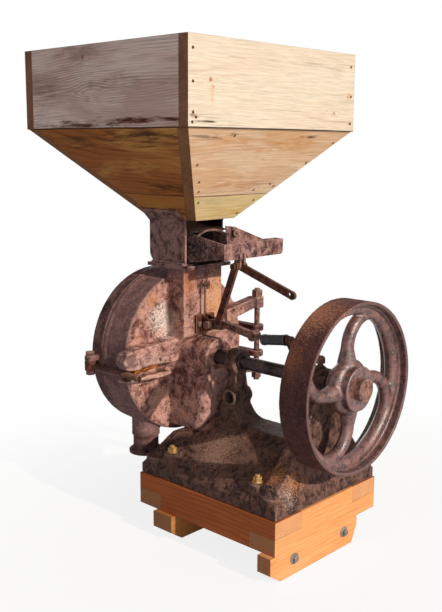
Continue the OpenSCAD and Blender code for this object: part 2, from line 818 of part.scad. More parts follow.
function flange_bolt_places() = [for (sx = [0, 1], sy = [-1, 1])
    [column_x - column_wall / 2 - sx * (column_t - column_wall), sy * (throat_y - 16)]];

module throat_flange()
    color(dark_iron) difference() {
        translate([throat_x0, -throat_y - flange_t, column_top])
            cube([throat_l + 18, 2 * (throat_y + flange_t), flange_t]);
        translate([column_x - column_wall - duct_t, -duct_w / 2, column_top - 1]) cube([duct_t, duct_w, 20]);
        for (p = flange_bolt_places()) translate([p[0], p[1], column_top - 1]) cylinder(d = 6, h = 20);
    }

// Slope of the funnel's near and far sides
lean_y = (funnel_y - mouth_y) / 2 / funnel_h;
lean_x = (funnel_x - mouth_x) / 2 / funnel_h;
lean_a = atan(1 / lean_y);
tab_h = 24;
bolt_hole = 8;

// Side plate: upright wall whose top is bent out onto the sloping funnel board
corner_r = 26;
foot_out_t = 7;
function tab_outline(s) = [
    [s * (throat_y - sheet_t), throat_z], [s * (throat_y + foot_out_t), throat_z],
    [s * (throat_y + foot_out_t), throat_z + sheet_t], [s * throat_y, throat_z + sheet_t],
    [s * throat_y, mouth_z - sheet_t / cos(lean_a)],
    [s * (throat_y + lean_y * tab_h + sheet_t * sin(lean_a)), mouth_z + tab_h - sheet_t * cos(lean_a)],
    [s * (throat_y + lean_y * tab_h), mouth_z + tab_h],
    [s * throat_y, mouth_z], [s * (throat_y - sheet_t), mouth_z]];
module throat_plate(s)
    difference() {
        intersection() {
            cross_plate(throat_x0, throat_x1) polygon(tab_outline(s));
            side_plate(-box_y, box_y) union() {
                translate([throat_x0, throat_z + corner_r])
                    square([throat_x1 - throat_x0, throat_h + tab_h]);
                translate([throat_x0 + corner_r, throat_z])
                    square([throat_x1 - throat_x0 - corner_r, throat_h]);
                translate([throat_x0 + corner_r, throat_z + corner_r]) circle(corner_r);
            }
        }
        throat_bolt_places(s) translate([0, 0, -funnel_t]) cylinder(d = bolt_hole, h = 2 * funnel_t);
        translate([pan_hinge_x, 0, pan_hinge_z]) bar_y(min(0, s * box_y), max(0, s * box_y), rod_d);
    }

// The two bolts that hold the bent tab to the funnel board, square to the slope
module throat_bolt_places(s)
    for (x = [throat_x0 + throat_l / 4, throat_x1 - throat_l / 5])
        translate([x, s * (throat_y + lean_y * tab_h * 0.55), mouth_z + tab_h * 0.55])
            rotate([s * (lean_a - 180), 0, 0]) children();

module throat_plate_near() color(dark_iron) throat_plate(-1);
module throat_plate_far() color(dark_iron) throat_plate(1);

// Sloping floor under the funnel's mouth that throws the grain forward on to the pan
chute_fall = 25;
module throat_chute()
    color(dark_iron) side_plate(-throat_y + sheet_t, throat_y - sheet_t)
        polygon([[throat_x0 + 6, mouth_z - 1], [throat_x0 + 6, mouth_z - 1 - pan_t],
            [throat_x1 + 12, mouth_z - chute_fall - pan_t], [throat_x1 + 12, mouth_z - chute_fall]]);

module throat_bolts()
    color(rust) {
        for (s = [-1, 1]) throat_bolt_places(s) translate([0, 0, sheet_t]) hex_head(12, 5);
        for (s = [-1, 1]) throat_bolt_places(s) translate([0, 0, -funnel_t + 4])
            cylinder(d = bolt_hole, h = funnel_t - 4 + sheet_t);
        for (p = flange_bolt_places()) translate([p[0], p[1], column_top - 14]) {
            cylinder(d = 6, h = 14 + flange_t);
            translate([0, 0, 14 + flange_t]) hex_head(10, 3);
        }
    }

// Feed pan and its rocker

function pan_z(x) = pan_floor_x0 + (x - pan_x0) * pan_slope;

module pan_side_2d()
    polygon([[pan_x0, pan_z(pan_x0)], [pan_x1, pan_z(pan_x1)], [pan_x1, pan_z(pan_x1) + pan_lip],
        [pan_x0 + 12, pan_z(pan_x1) + pan_lip + 18], [pan_x0, pan_z(pan_x1) + pan_lip + 18]]);

module pan_floor_2d()
    polygon([[pan_x0, pan_z(pan_x0)], [pan_x1, pan_z(pan_x1)], [pan_x1, pan_z(pan_x1) + pan_t],
        [pan_x0, pan_z(pan_x0) + pan_t]]);

trough_y = pan_y + trough_out;
trough_z = pan_z(trough_x0);
trough_t = pan_t + 1;
trough_r = 10;
trough_top = pan_z(pan_x1) + pan_lip;
// The trough's cross section from y0 to its far end, drawn in by t, as a list of points
function trough_2d(y0, t) =
    concat([[y0, trough_z + t]], arc([trough_y - trough_r, trough_z + trough_r], trough_r - t, -90, 0, 6),
        [[trough_y - t, trough_top + (t > 0 ? 1 : 0)], [y0, trough_top + (t > 0 ? 1 : 0)]]);

module feed_pan()
    color(rust) difference() {
        union() {
            side_plate(-pan_y, -pan_y + pan_t) pan_side_2d();
            side_plate(pan_y - pan_t, pan_y) intersection() {
                pan_side_2d();
                translate([pan_x0, pan_floor_x0]) square([trough_x0 - gate_t - pan_x0, throat_h]);
            }
            side_plate(-pan_y + 1, pan_y - 1) pan_floor_2d();
            cross_plate(pan_x1 - pan_t, pan_x1) polygon(trough_2d(-pan_y, 0));
            cross_plate(trough_x0, pan_x1 - 1) difference() {
                polygon(trough_2d(pan_y - pan_t, 0));
                polygon(trough_2d(pan_y - pan_t - 1, trough_t));
            }
            cross_plate(trough_x0, trough_x0 + pan_t) polygon(trough_2d(pan_y, 0));
            for (y = lug_places()) side_plate(y, y + 5) slot_2d([pin_x, pin_z], [pin_x, pin_z + 22], 9);
            for (s = [-1, 1]) translate([pan_hinge_x, s * (pan_y - 4), pan_hinge_z])
                bar_y(-4, 4, 18);
        }
        translate([pin_x, 0, pin_z]) bar_y(-40, 40, pin_d);
        translate([pan_hinge_x, 0, pan_hinge_z]) bar_y(-80, 80, rod_d + 2 * fit);
        gate_bolt_places() bar_x(trough_x0 - 1, trough_x0 + 5, 6);
    }
function lug_places() = [-6, 9];

module pan_hinge_rod()
    color(bright_iron) translate([pan_hinge_x, 0, pan_hinge_z]) {
        bar_y(-throat_y - 3, throat_y + 3, rod_d);
        for (s = [-1, 1]) translate([0, s * (throat_y + 3), 0]) bar_y(-3, 3, rod_d + 6);
    }

gate_bolt_y = pan_y + 55;
gate_t = 4;
gate_eye_y = 9;
gate_low_z = pan_z(pan_x1) + pan_lip - 8;
gate_eye_z = pan_z(pan_x1) + pan_lip + 21;
module gate_plate()
    color(rust) difference() {
        cross_plate(trough_x0 - gate_t, trough_x0)
            polygon([[gate_eye_y - 23, gate_eye_z + 17], [gate_eye_y + 5, gate_eye_z + 13],
                [gate_bolt_y + 8, gate_low_z + 7], [gate_bolt_y + 8, gate_low_z - 6],
                [gate_eye_y - 19, pan_z(pan_x1) + 10]]);
        gate_bolt_places(0) bar_x(trough_x0 - gate_t - 1, trough_x0 + 1, 6);
    }

// The upper bolt also holds the strap, whose thickness moves its head out
module gate_bolt_places(out = 0) {
    translate([0, gate_bolt_y, gate_low_z]) children();
    translate([-out, gate_eye_y, gate_eye_z]) children();
}

module gate_bolts()
    color(bright_iron) {
        gate_bolt_places(0) {
            bar_x(trough_x0 - gate_t, trough_x0 + pan_t + 3, 6);
            bar_x(trough_x0 + pan_t, trough_x0 + pan_t + 3, 12);
        }
        gate_bolt_places(strap_t) {
            bar_x(trough_x0 - gate_t, trough_x0, 6);
            translate([trough_x0 - gate_t - 5, 0, 0]) rotate([0, 90, 0]) hex_head(10, 5);
        }
    }

// Arched strap from the near wall of the pan to the gate's eye
strap_t = 3;
strap_w = 14;
strap_a = [pan_x0 + 30, -pan_y + pan_t + strap_t, pan_z(pan_x1) + pan_lip + 5];
strap_b = [trough_x0 - gate_t - strap_t, gate_eye_y, 0];
module pan_strap() {
    run = norm([strap_b[0] - strap_a[0], strap_b[1] - strap_a[1]]);
    rise = 24;
    arch_r = (run * run / 4 + rise * rise) / (2 * rise);
    color(rust) difference() {
        union() {
            translate(strap_a) rotate([0, 0, atan2(strap_b[1] - strap_a[1], strap_b[0] - strap_a[0])])
                side_plate(-strap_w / 2, strap_w / 2) intersection() {
                    translate([run / 2, rise - arch_r]) difference() {
                        circle(arch_r);
                        circle(arch_r - strap_t - 1);
                    }
                    square([run, rise]);
                }
            translate([strap_a[0] - strap_w / 2, -pan_y + pan_t, strap_a[2] - 14])
                cube([strap_w + 6, strap_t, 20]);
            cross_plate(strap_b[0], strap_b[0] + strap_t)
                slot_2d([gate_eye_y, gate_eye_z], [gate_eye_y, strap_a[2] + 6], strap_w / 2 + 1);
        }
        translate([0, gate_eye_y, gate_eye_z]) bar_x(strap_b[0] - 1, trough_x0, 6);
        translate([trough_x0 - gate_t, -pan_y, strap_a[2] - 30]) cube([gate_t, 2 * pan_y, throat_h]);
        translate([pan_x0, -pan_y, strap_a[2] - 30]) cube([pan_reach, pan_t, throat_h]);
    }
}

module feed_lever()
    color(dark_iron) translate([pin_x, 0, pin_z]) rotate([0, 18, 0]) side_plate(1, 1 + lever_t)
        difference() {
            slot_2d([0, 0], [158, 0], 9);
            circle(d = pin_d + 2 * fit);
            translate([150, 0]) circle(4);
        }

module lever_pin()
    color(bright_iron) translate([pin_x, 0, pin_z]) {
        bar_y(-18, 18, pin_d);
        bar_y(-21, -17, pin_d + 6);
        bar_y(17, 21, pin_d + 6);
    }

rocker_bolt_y = 22;
module rocker_bracket()
    color(dark_iron) difference() {
        union() {
            translate([column_x, -30, rocker_z - 21]) cube([6, 60, 42]);
            for (s = [-1, 1]) side_plate(s < 0 ? -14 : 8, s < 0 ? -8 : 14)
                polygon(concat([[column_x + 3, rocker_z + 21]], arc([rocker_x, rocker_z], 13, 60, -60, 10),
                    [[column_x + 3, rocker_z - 21]]));
        }
        translate([rocker_x, 0, rocker_z]) bar_y(-20, 20, rocker_pin_d);
        for (s = [-1, 1]) translate([0, s * rocker_bolt_y, rocker_z])
            bar_x(column_x - 1, column_x + 8, 6);
    }

module bracket_bolts()
    color(rust) for (s = [-1, 1]) translate([0, s * rocker_bolt_y, rocker_z]) {
        bar_x(column_x - 9, column_x + 8, 6);
        translate([column_x + 6, 0, 0]) rotate([0, 90, 0]) hex_head(11, 5);
    }

module rocker_pin()
    color(bright_iron) translate([rocker_x, 0, rocker_z]) {
        bar_y(-18, 18, rocker_pin_d);
        bar_y(-20, -14, rocker_pin_d + 8);
        bar_y(14.1, 18, rocker_pin_d + 6);
    }

arm_end = 138;
module rocker_arm()
    color(dark_iron) difference() {
        union() {
            side_plate(-6, 6) {
                slot_2d([rocker_x, rocker_z], [link_x, link_z - 8], 12);
                slot_2d([link_x, link_z - 4], [rocker_x + arm_end - 10, rocker_z - 8], 8);
                translate([link_x, link_z]) circle(10);
            }
            translate([rocker_x + arm_end - 10, 0, rocker_z - 8]) bar_y(-8, 12, 24);
        }
        translate([rocker_x, 0, rocker_z]) bar_y(-20, 20, rocker_pin_d + 2 * fit);
        translate([link_x, 0, link_z]) bar_y(-20, 20, 8 + 2 * fit);
    }

// Flat link from the rocker up to the pan, with its own lower pin
module rocker_link()
    color(dark_iron) difference() {
        union() {
            side_plate(-13.5, -7.5) slot_2d([link_x, link_z], [pin_x, pin_z], 9);
            translate([link_x, 0, link_z]) {
                bar_y(-13.5, 7.5, 8);
                bar_y(7.5, 10.5, 14);
            }
        }
        translate([pin_x, 0, pin_z]) bar_y(-20, 0, pin_d + 1);
    }

// Hopper boards

module box_board_x(s) {
    x0 = s < 0 ? -box_x / 2 : box_x / 2 - board_t;
    color(wood_pale) translate([hopper_x + x0, -box_y / 2, box_z]) cube([board_t, box_y, box_h]);
}
module box_board_y(s) {
    y0 = s < 0 ? -box_y / 2 : box_y / 2 - board_t;
    color(wood_pale) translate([hopper_x - box_x / 2 + board_t, y0, box_z])
        cube([box_x - 2 * board_t, board_t, box_h]);
}
module box_board_front() box_board_x(1);
module box_board_rear() box_board_x(-1);
module box_board_near() box_board_y(-1);
module box_board_far() box_board_y(1);

// Sloping plank of the funnel between two heights: outer half width at height z is given
// by the mouth's half width and the lean, and cut is the plank's level thickness
function plank_2d(half, lean, cut, z0, z1) = [
    [half + lean * (z0 - mouth_z), z0], [half + lean * (z1 - mouth_z), z1],
    [half + lean * (z1 - mouth_z) - cut, z1], [half + lean * (z0 - mouth_z) - cut, z0]];
function outline_2d(half, lean, z0, z1) = [
    [-half - lean * (z0 - mouth_z), z0], [half + lean * (z0 - mouth_z), z0],
    [half + lean * (z1 - mouth_z), z1], [-half - lean * (z1 - mouth_z), z1]];
cut_x = funnel_t / sin(atan(1 / lean_x));
cut_y = funnel_t / sin(atan(1 / lean_y));

module funnel_board_x(s, z0, z1)
    translate([hopper_x, 0, 0]) intersection() {
        scale([s, 1, 1]) side_plate(-box_y, box_y) polygon(plank_2d(mouth_x / 2, lean_x, cut_x, z0, z1));
        cross_plate(-box_x, box_x) polygon(outline_2d(mouth_y / 2, lean_y, z0, z1));
    }
module funnel_board_y(s, z0, z1)
    translate([hopper_x, 0, 0]) intersection() {
        scale([1, s, 1]) cross_plate(-box_x, box_x) polygon(plank_2d(mouth_y / 2, lean_y, cut_y, z0, z1));
        side_plate(-box_y, box_y) polygon(outline_2d(mouth_x / 2 - cut_x, lean_x, z0, z1));
    }
module funnel_side_x(s) {
    color(wood_pale) funnel_board_x(s, split_z, box_z);
    color(wood_yellow) funnel_board_x(s, mouth_z, split_z);
}
module funnel_side_y(s) {
    color(wood_pale) funnel_board_y(s, split_z, box_z);
    color(wood_yellow) difference() {
        funnel_board_y(s, mouth_z, split_z);
        throat_bolt_places(s) translate([0, 0, -funnel_t + 4]) cylinder(d = bolt_hole, h = funnel_t);
    }
}
module funnel_front() funnel_side_x(1);
module funnel_rear() funnel_side_x(-1);
module funnel_near() funnel_side_y(-1);
module funnel_far() funnel_side_y(1);

// Sets a module down with the origin under the middle of the front foot
module placed()
    translate([foot_t / 2 - frame_l / 2, 0, 0]) children();

placed() rail_near();
placed() rail_far();
placed() front_bearer();
placed() rear_cross_rail();
placed() rear_skid();
placed() coach_bolts();
placed() bed_casting();
placed() hold_down_studs();
placed() hold_down_nuts();
placed() inner_bearing_bush();
placed() adjusting_sleeve();
placed() adjusting_lever();
placed() adjusting_grip();
placed() thrust_ring();
placed() oil_cup();
placed() main_shaft();
placed() pulley();
placed() pulley_key();
placed() shaft_end_disc();
placed() shaft_collar();
placed() feed_screw();
placed() front_casing();
placed() casing_bolts();
placed() fixed_plate();
placed() plate_screws();
placed() runner_plate();
placed() runner_nut();
placed() rear_cover();
placed() hinge_pin();
placed() hinge_nuts();
placed() latch_pin();
placed() swing_bolt();
placed() discharge_spout();
placed() throat_flange();
placed() throat_plate_near();
placed() throat_plate_far();
placed() throat_chute();
placed() throat_bolts();
placed() feed_pan();
placed() gate_plate();
placed() pan_strap();
placed() feed_lever();
placed() lever_pin();
placed() rocker_bracket();
placed() rocker_arm();
placed() rocker_pin();
placed() rocker_link();
placed() bracket_bolts();
placed() gate_bolts();
placed() box_board_front();
placed() box_board_rear();
placed() box_board_near();
placed() box_board_far();
placed() funnel_front();
placed() funnel_rear();
placed() funnel_near();
placed() funnel_far();
placed() pan_hinge_rod();
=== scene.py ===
"""Looks of a belt-driven grain mill: weathered pine hopper and frame, rusty castings, worn bars.

Every length is in metres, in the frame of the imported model: +X runs along the shaft towards the
pulley, +Z is up, and the origin is on the floor under the middle of the front foot.
"""

import logging
import math
from dataclasses import dataclass, replace
from enum import Enum
from random import Random

import bmesh
import bpy
from mathutils import Euler, Matrix, Vector, noise

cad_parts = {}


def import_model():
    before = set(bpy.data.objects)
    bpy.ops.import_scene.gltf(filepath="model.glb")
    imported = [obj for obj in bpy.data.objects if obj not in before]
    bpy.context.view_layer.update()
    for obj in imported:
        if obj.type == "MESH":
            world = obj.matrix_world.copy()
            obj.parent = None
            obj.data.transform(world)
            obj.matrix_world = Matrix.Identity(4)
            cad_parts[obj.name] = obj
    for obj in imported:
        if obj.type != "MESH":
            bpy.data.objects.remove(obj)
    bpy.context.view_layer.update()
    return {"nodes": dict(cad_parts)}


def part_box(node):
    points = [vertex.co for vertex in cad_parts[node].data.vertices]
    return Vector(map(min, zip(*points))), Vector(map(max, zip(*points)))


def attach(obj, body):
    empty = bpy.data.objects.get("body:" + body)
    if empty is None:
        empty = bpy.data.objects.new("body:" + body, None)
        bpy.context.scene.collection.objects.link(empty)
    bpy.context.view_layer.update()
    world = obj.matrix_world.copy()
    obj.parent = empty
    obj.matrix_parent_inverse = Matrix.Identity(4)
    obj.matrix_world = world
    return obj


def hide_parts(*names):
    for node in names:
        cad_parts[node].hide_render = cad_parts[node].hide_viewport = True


LOG = logging.getLogger("mill")

Point = tuple[float, float, float]
Colour = tuple[float, float, float, float]
Socket = bpy.types.NodeSocket
Shape = bmesh.types.BMesh

WELD = 1e-6
ORIGIN = (0.0, 0.0, 0.0)

# A patch fades out at this many radii, and its specks show above this level.
SPOT_REACH = 1.4
SPOT_LEVEL = 0.63

# Waves per metre of the noises in wood, along the grain and twice across it.
DRIFT = (1.6, 7, 7)
WAVE = (9, 34, 34)
CLOUD = (3, 13, 13)
BREAKS = (2.5, 24, 24)
FIBRE = (14, 520, 520)
STREAK = (6, 190, 190)
SPECK = (17, 110, 110)

# How far drift and wave push the rings, in metres.
DRIFT_PUSH = 0.055
WAVE_PUSH = 0.007

# How far a knot bends the rings, in its radii and in ring widths, and its shape along the grain.
KNOT_REACH = 3.2
KNOT_BEND = 1.7
KNOT_LENGTH = 0.4

# Levels between which the noises of wood and iron start to show.
TONE_LEVELS = (0.42, 0.62)
BREAK_LEVELS = (0.36, 0.62)
STREAK_LEVELS = (0.60, 0.70)
SKIN_LEVELS = (0.40, 0.58)
RUN_LEVELS = (0.52, 0.72)
PIT_LEVELS = (0.60, 0.70)

# Waves per pitch of the noises in iron, and waves per metre of its grit and pits.
WIDE, RUST, MOTTLE, OTHER, FINE = 0.35, 0.8, 1.2, 5.0, 6.0
GRIT, PITS = 700.0, 240.0

# Orange rust and pale bloom start here where their share is 0, and this much lower where it is 1.
ORANGE_LEVEL = 0.64
BLOOM_LEVEL = 0.58
SHARE_SPAN = 0.26

# Shine of the wood, and roughness and shine of a wheel's outer rim.
WOOD_SHINE = 0.08
RIM_ROUGH = 0.7
RIM_SHINE = 0.08


def tint(code: str) -> Colour:
    """Turns a colour code of six hexadecimal digits into linear light with full alpha."""
    parts = [int(code[i:i + 2], 16) / 255 for i in (0, 2, 4)]
    linear = [p / 12.92 if p <= 0.04045 else ((p + 0.055) / 1.055) ** 2.4 for p in parts]
    return (linear[0], linear[1], linear[2], 1.0)


class Grain(Enum):
    """The way the fibres of a board run."""

    X = (0, 1, 2)
    Y = (1, 0, 2)


@dataclass(frozen=True)
class Patch:
    """A spot of another colour with a ragged edge."""

    centre: Point
    radius: float
    code: str
    share: float = 0.8
    stretch: Point = (1.0, 1.0, 1.0)


class Wiring:
    """Adds and links the nodes of one tree."""

    def __init__(self, tree: bpy.types.NodeTree) -> None:
        """Keeps the tree."""
        self.tree = tree

    def feed(self, socket: Socket, value: object) -> None:
        """Links a socket to another, or gives it a plain value."""
        if isinstance(value, Socket):
            self.tree.links.new(value, socket)
        else:
            socket.default_value = value

    def add(self, kind: str, inputs: dict[str | int, object] | None = None,
            **settings: object) -> bpy.types.Node:
        """Adds a shader node.

        Args:
            kind: its type, without the words that all types start with.
            inputs: what each input is fed with, by its name or number.
            settings: its own settings.
        """
        node = self.tree.nodes.new("ShaderNode" + kind)
        for key, value in settings.items():
            setattr(node, key, value)
        for key, value in (inputs or {}).items():
            self.feed(node.inputs[key], value)
        return node

    def calc(self, operation: str, first: object, second: object = 0.0) -> Socket:
        """Does one sum on two numbers."""
        return self.add("Math", {0: first, 1: second}, operation=operation).outputs[0]

    def weighted(self, first: Socket, share: float, second: Socket, other: float) -> Socket:
        """Adds two numbers, each times its own share."""
        return self.calc("ADD", self.calc("MULTIPLY", first, share),
                         self.calc("MULTIPLY", second, other))

    def seen(self) -> Socket:
        """Tells the rays that should meet the pale background."""
        path = self.add("LightPath").outputs
        rays = path["Is Camera Ray"]
        for name in ("Is Glossy Ray", "Is Transmission Ray"):
            rays = self.calc("MAXIMUM", rays, path[name])
        return rays

    def close(self, share: Socket, first: Socket, second: Socket, output: str) -> None:
        """Mixes two shaders by a share, and leads the mix to the tree's output."""
        mix = self.add("MixShader", {0: share, 1: first, 2: second})
        self.feed(self.tree.nodes[output].inputs["Surface"], mix.outputs[0])


class Recipe(Wiring):
    """Writes the node tree of one material, from the pattern down to the shader."""

    def __init__(self, name: str) -> None:
        """Starts an empty material with one Principled shader."""
        self.material = bpy.data.materials.new(name)
        self.material.use_nodes = True
        super().__init__(self.material.node_tree)
        self.shader = self.tree.nodes["Principled BSDF"]
        coordinates = self.add("TexCoord").outputs
        self.place = coordinates["Object"]
        self.facing = coordinates["Normal"]

    def vector(self, operation: str, first: object, second: object) -> Socket:
        """Does one sum on two vectors."""
        node = self.add("VectorMath", {0: first, 1: second}, operation=operation)
        return node.outputs["Value" if operation in ("LENGTH", "DOT_PRODUCT") else "Vector"]

    def distance(self, centre: Point, stretch: Point) -> Socket:
        """Gives the stretched distance of each place from a centre."""
        away = self.vector("MULTIPLY", self.vector("SUBTRACT", self.place, centre), stretch)
        return self.vector("LENGTH", away, ORIGIN)

    def parts(self, place: Socket) -> list[Socket]:
        """Splits coordinates into x, y and z."""
        return list(self.add("SeparateXYZ", {0: place}).outputs)

    def mapped(self, place: Socket, scale: Point, move: Point = ORIGIN,
               turn: Point = ORIGIN) -> Socket:
        """Stretches, moves and turns coordinates."""
        return self.add("Mapping", {"Vector": place, "Location": move, "Rotation": turn,
                                    "Scale": scale}).outputs[0]

    def noise(self, place: Socket, scale: float, detail: float = 4.0, rough: float = 0.55,
              warp: float = 0.0) -> Socket:
        """Gives soft noise between 0 and 1, around 0.5."""
        return self.add("TexNoise", {"Vector": place, "Scale": scale, "Detail": detail,
                                     "Roughness": rough, "Distortion": warp}).outputs["Fac"]

    def levels(self, value: object, low: float, high: float, start: float = 0.0,
               end: float = 1.0) -> Socket:
        """Eases a value from start to end between low and high."""
        return self.add("MapRange", {"Value": value, "From Min": low, "From Max": high,
                                     "To Min": start, "To Max": end},
                        interpolation_type="SMOOTHSTEP").outputs[0]

    def blend(self, factor: object, first: object, second: object, mode: str = "MIX") -> Socket:
        """Mixes two colours by a factor."""
        return self.add("Mix", {0: factor, 6: first, 7: second}, data_type="RGBA",
                        blend_type=mode).outputs[2]

    def grey(self, value: Socket) -> Socket:
        """Makes a grey of a number, for a multiply."""
        return self.add("CombineColor", {0: value, 1: value, 2: value}).outputs[0]

    def bump(self, height: Socket, distance: float, normal: Socket) -> Socket:
        """Raises the surface by a height pattern."""
        return self.add("Bump", {"Strength": 1.0, "Distance": distance, "Height": height,
                                 "Normal": normal}).outputs[0]

    def edges(self, radius: float) -> tuple[Socket, Socket]:
        """Gives a normal that rounds the edges by a radius, and a mask that is 1 on them."""
        rounded = self.add("Bevel", {"Radius": radius}, samples=6).outputs[0]
        plain = self.add("NewGeometry").outputs["Normal"]
        alike = self.vector("DOT_PRODUCT", rounded, plain)
        return rounded, self.levels(alike, 0.80, 0.985, 1.0, 0.0)

    def spot(self, patch: Patch, speck: Socket, crowding: float, soft: float) -> Socket:
        """Gives the mask of a patch, up to its share: crowded specks in its middle, few at its rim.

        Crowding is how much of the middle is covered, and soft is how each speck fades out.
        """
        far = self.distance(patch.centre, patch.stretch)
        near = self.levels(far, 0.0, patch.radius * SPOT_REACH, 1.0, 0.0)
        crowd = self.calc("ADD", speck, self.calc("MULTIPLY", near, crowding))
        mask = self.levels(crowd, SPOT_LEVEL, SPOT_LEVEL + soft, 0.0, patch.share)
        return self.calc("MULTIPLY", mask, self.levels(near, 0.0, 0.25))

    def patched(self, colour: Socket, patches: tuple[Patch, ...], speck: Socket, crowding: float,
                soft: float) -> Socket:
        """Lays patches over a colour, broken up by a noise of specks."""
        for patch in patches:
            colour = self.blend(self.spot(patch, speck, crowding, soft), colour, tint(patch.code))
        return colour

    def done(self, colour: Socket, rough: object, metal: float, normal: Socket | None,
             shine: object = 0.5) -> bpy.types.Material:
        """Feeds the shader and hands over the material."""
        for name, value in (("Base Color", colour), ("Roughness", rough), ("Metallic", metal),
                            ("Normal", normal), ("Specular IOR Level", shine)):
            if value is not None:
                self.feed(self.shader.inputs[name], value)
        return self.material


def spots(*rows: tuple) -> tuple[Patch, ...]:
    """Makes a patch of each row of x, y, z, radius, colour, share and, at will, stretch."""
    return tuple(Patch(row[:3], *row[3:]) for row in rows)


@dataclass(frozen=True)
class Wood:
    """A sawn softwood board with rings, fibres, knots and stains."""

    name: str
    grain: Grain
    early: str
    late: str
    tone: str
    ring: float = 0.0075
    pith: tuple[float, float] = (0.05, 0.04)
    tilt: float = 0.03
    contrast: float = 0.6
    blotch: float = 0.6
    dirt: str = "4a3324"
    end: str = "7a5638"
    end_share: float = 0.8
    end_from: float = 0.5
    end_dirt: float = 0.5
    knots: tuple[Patch, ...] = ()
    patches: tuple[Patch, ...] = ()
    seams: tuple[tuple[float, float, float], ...] = ()
    lower: float | None = None
    lower_code: str = "e0b878"
    crack: str = "1c100a"
    skin: float = 0.0007
    rounding: float = 0.0022
    crowding: float = 0.32
    soft: float = 0.30

    def rings(self, r: Recipe, along: Socket, drift: Socket, wave: Socket) -> Socket:
        """Gives the dark late-wood lines, which bend round the knots."""
        turn = (0, self.tilt, -self.tilt * 0.6)
        trunk = r.parts(r.mapped(along, (1, 1, 1), (0, *self.pith), turn))
        radius = r.calc("SQRT", r.calc("ADD", *(r.calc("POWER", part, 2.0) for part in trunk[1:])))
        radius = r.calc("ADD", radius, r.calc("MULTIPLY", drift, DRIFT_PUSH))
        radius = r.calc("ADD", radius, r.calc("MULTIPLY", wave, WAVE_PUSH))
        fibre = self.grain.value[0]
        stretch = tuple(KNOT_LENGTH if axis == fibre else 1.0 for axis in range(3))
        for knot in self.knots:
            bend = r.levels(r.distance(knot.centre, stretch), 0.0, knot.radius * KNOT_REACH,
                            self.ring * KNOT_BEND, 0.0)
            radius = r.calc("SUBTRACT", radius, bend)
        phase = r.calc("FRACT", r.calc("DIVIDE", radius, self.ring))
        line = r.calc("MULTIPLY", r.levels(phase, 0.2, 0.88), r.levels(phase, 0.9, 1.0, 1.0, 0.0))
        here = r.noise(r.mapped(along, BREAKS, (7, 7, 7)), 1.0, 3, 0.6)
        line = r.calc("MULTIPLY", line, r.levels(here, *BREAK_LEVELS, 0.15, 1.0))
        depth = r.levels(drift, 0.3, 0.7, 0.5 * self.contrast, self.contrast)
        return r.calc("MULTIPLY", line, depth)

    def build(self) -> bpy.types.Material:
        """Builds the wood's material."""
        r = Recipe(self.name)
        split = r.parts(r.place)
        ordered = {i: split[axis] for i, axis in enumerate(self.grain.value)}
        along = r.add("CombineXYZ", ordered).outputs[0]
        drift = r.noise(r.mapped(along, DRIFT), 1.0, 2, 0.5)
        wave = r.noise(r.mapped(along, WAVE), 1.0, 3, 0.5)
        line = self.rings(r, along, drift, wave)
        colour = r.blend(line, tint(self.early), tint(self.late))
        cloud = r.noise(r.mapped(along, CLOUD, (3, 1, 2)), 1.0, 5, 0.62, 0.6)
        colour = r.blend(r.levels(cloud, *TONE_LEVELS, 0.0, self.blotch), colour, tint(self.tone))
        if self.lower is not None:
            low = r.levels(r.calc("ADD", split[2], r.calc("MULTIPLY", wave, 0.004)),
                           self.lower + 0.001, self.lower + 0.003, 0.75, 0.0)
            colour = r.blend(low, colour, tint(self.lower_code))
        fibre = r.noise(r.mapped(along, FIBRE), 1.0, 3, 0.6)
        colour = r.blend(1.0, colour, r.grey(r.levels(fibre, 0.25, 0.75, 0.78, 1.08)), "MULTIPLY")
        streak = r.noise(r.mapped(along, STREAK, (5, 0, 0)), 1.0, 3, 0.6)
        colour = r.blend(r.levels(streak, *STREAK_LEVELS, 0.0, 0.28), colour, tint(self.dirt))
        for knot in self.knots:
            colour = r.blend(r.spot(knot, wave, 0.36, 0.14), colour, tint(knot.code))
        speck = r.noise(r.mapped(along, SPECK, (2, 4, 6)), 1.0, 5, 0.66)
        colour = r.patched(colour, self.patches, speck, self.crowding, self.soft)
        for height, half, share in self.seams:
            off = r.calc("ABSOLUTE", r.calc("SUBTRACT", split[2], height))
            off = r.calc("SUBTRACT", off, r.calc("MULTIPLY", wave, half))
            colour = r.blend(r.levels(off, 0.0, half * 0.5, share, 0.0), colour, tint(self.crack))
        facing = r.calc("ABSOLUTE", r.parts(r.facing)[self.grain.value[0]])
        ends = r.levels(facing, self.end_from, self.end_from + 0.12, 0.0, self.end_share)
        grime = r.levels(r.calc("ADD", cloud, streak), 0.8, 1.2, 0.0, self.end_dirt)
        colour = r.blend(ends, colour, r.blend(grime, tint(self.end), tint(self.dirt)))
        normal, worn = r.edges(self.rounding)
        dirty = r.calc("MULTIPLY", worn, r.levels(cloud, 0.3, 0.6, 0.15, 0.6))
        colour = r.blend(dirty, colour, tint(self.dirt))
        height = r.weighted(fibre, 0.7, line, -0.35)
        rough = r.levels(fibre, 0.2, 0.8, 0.62, 0.86)
        return r.done(colour, rough, 0.0, r.bump(height, self.skin, normal), WOOD_SHINE)


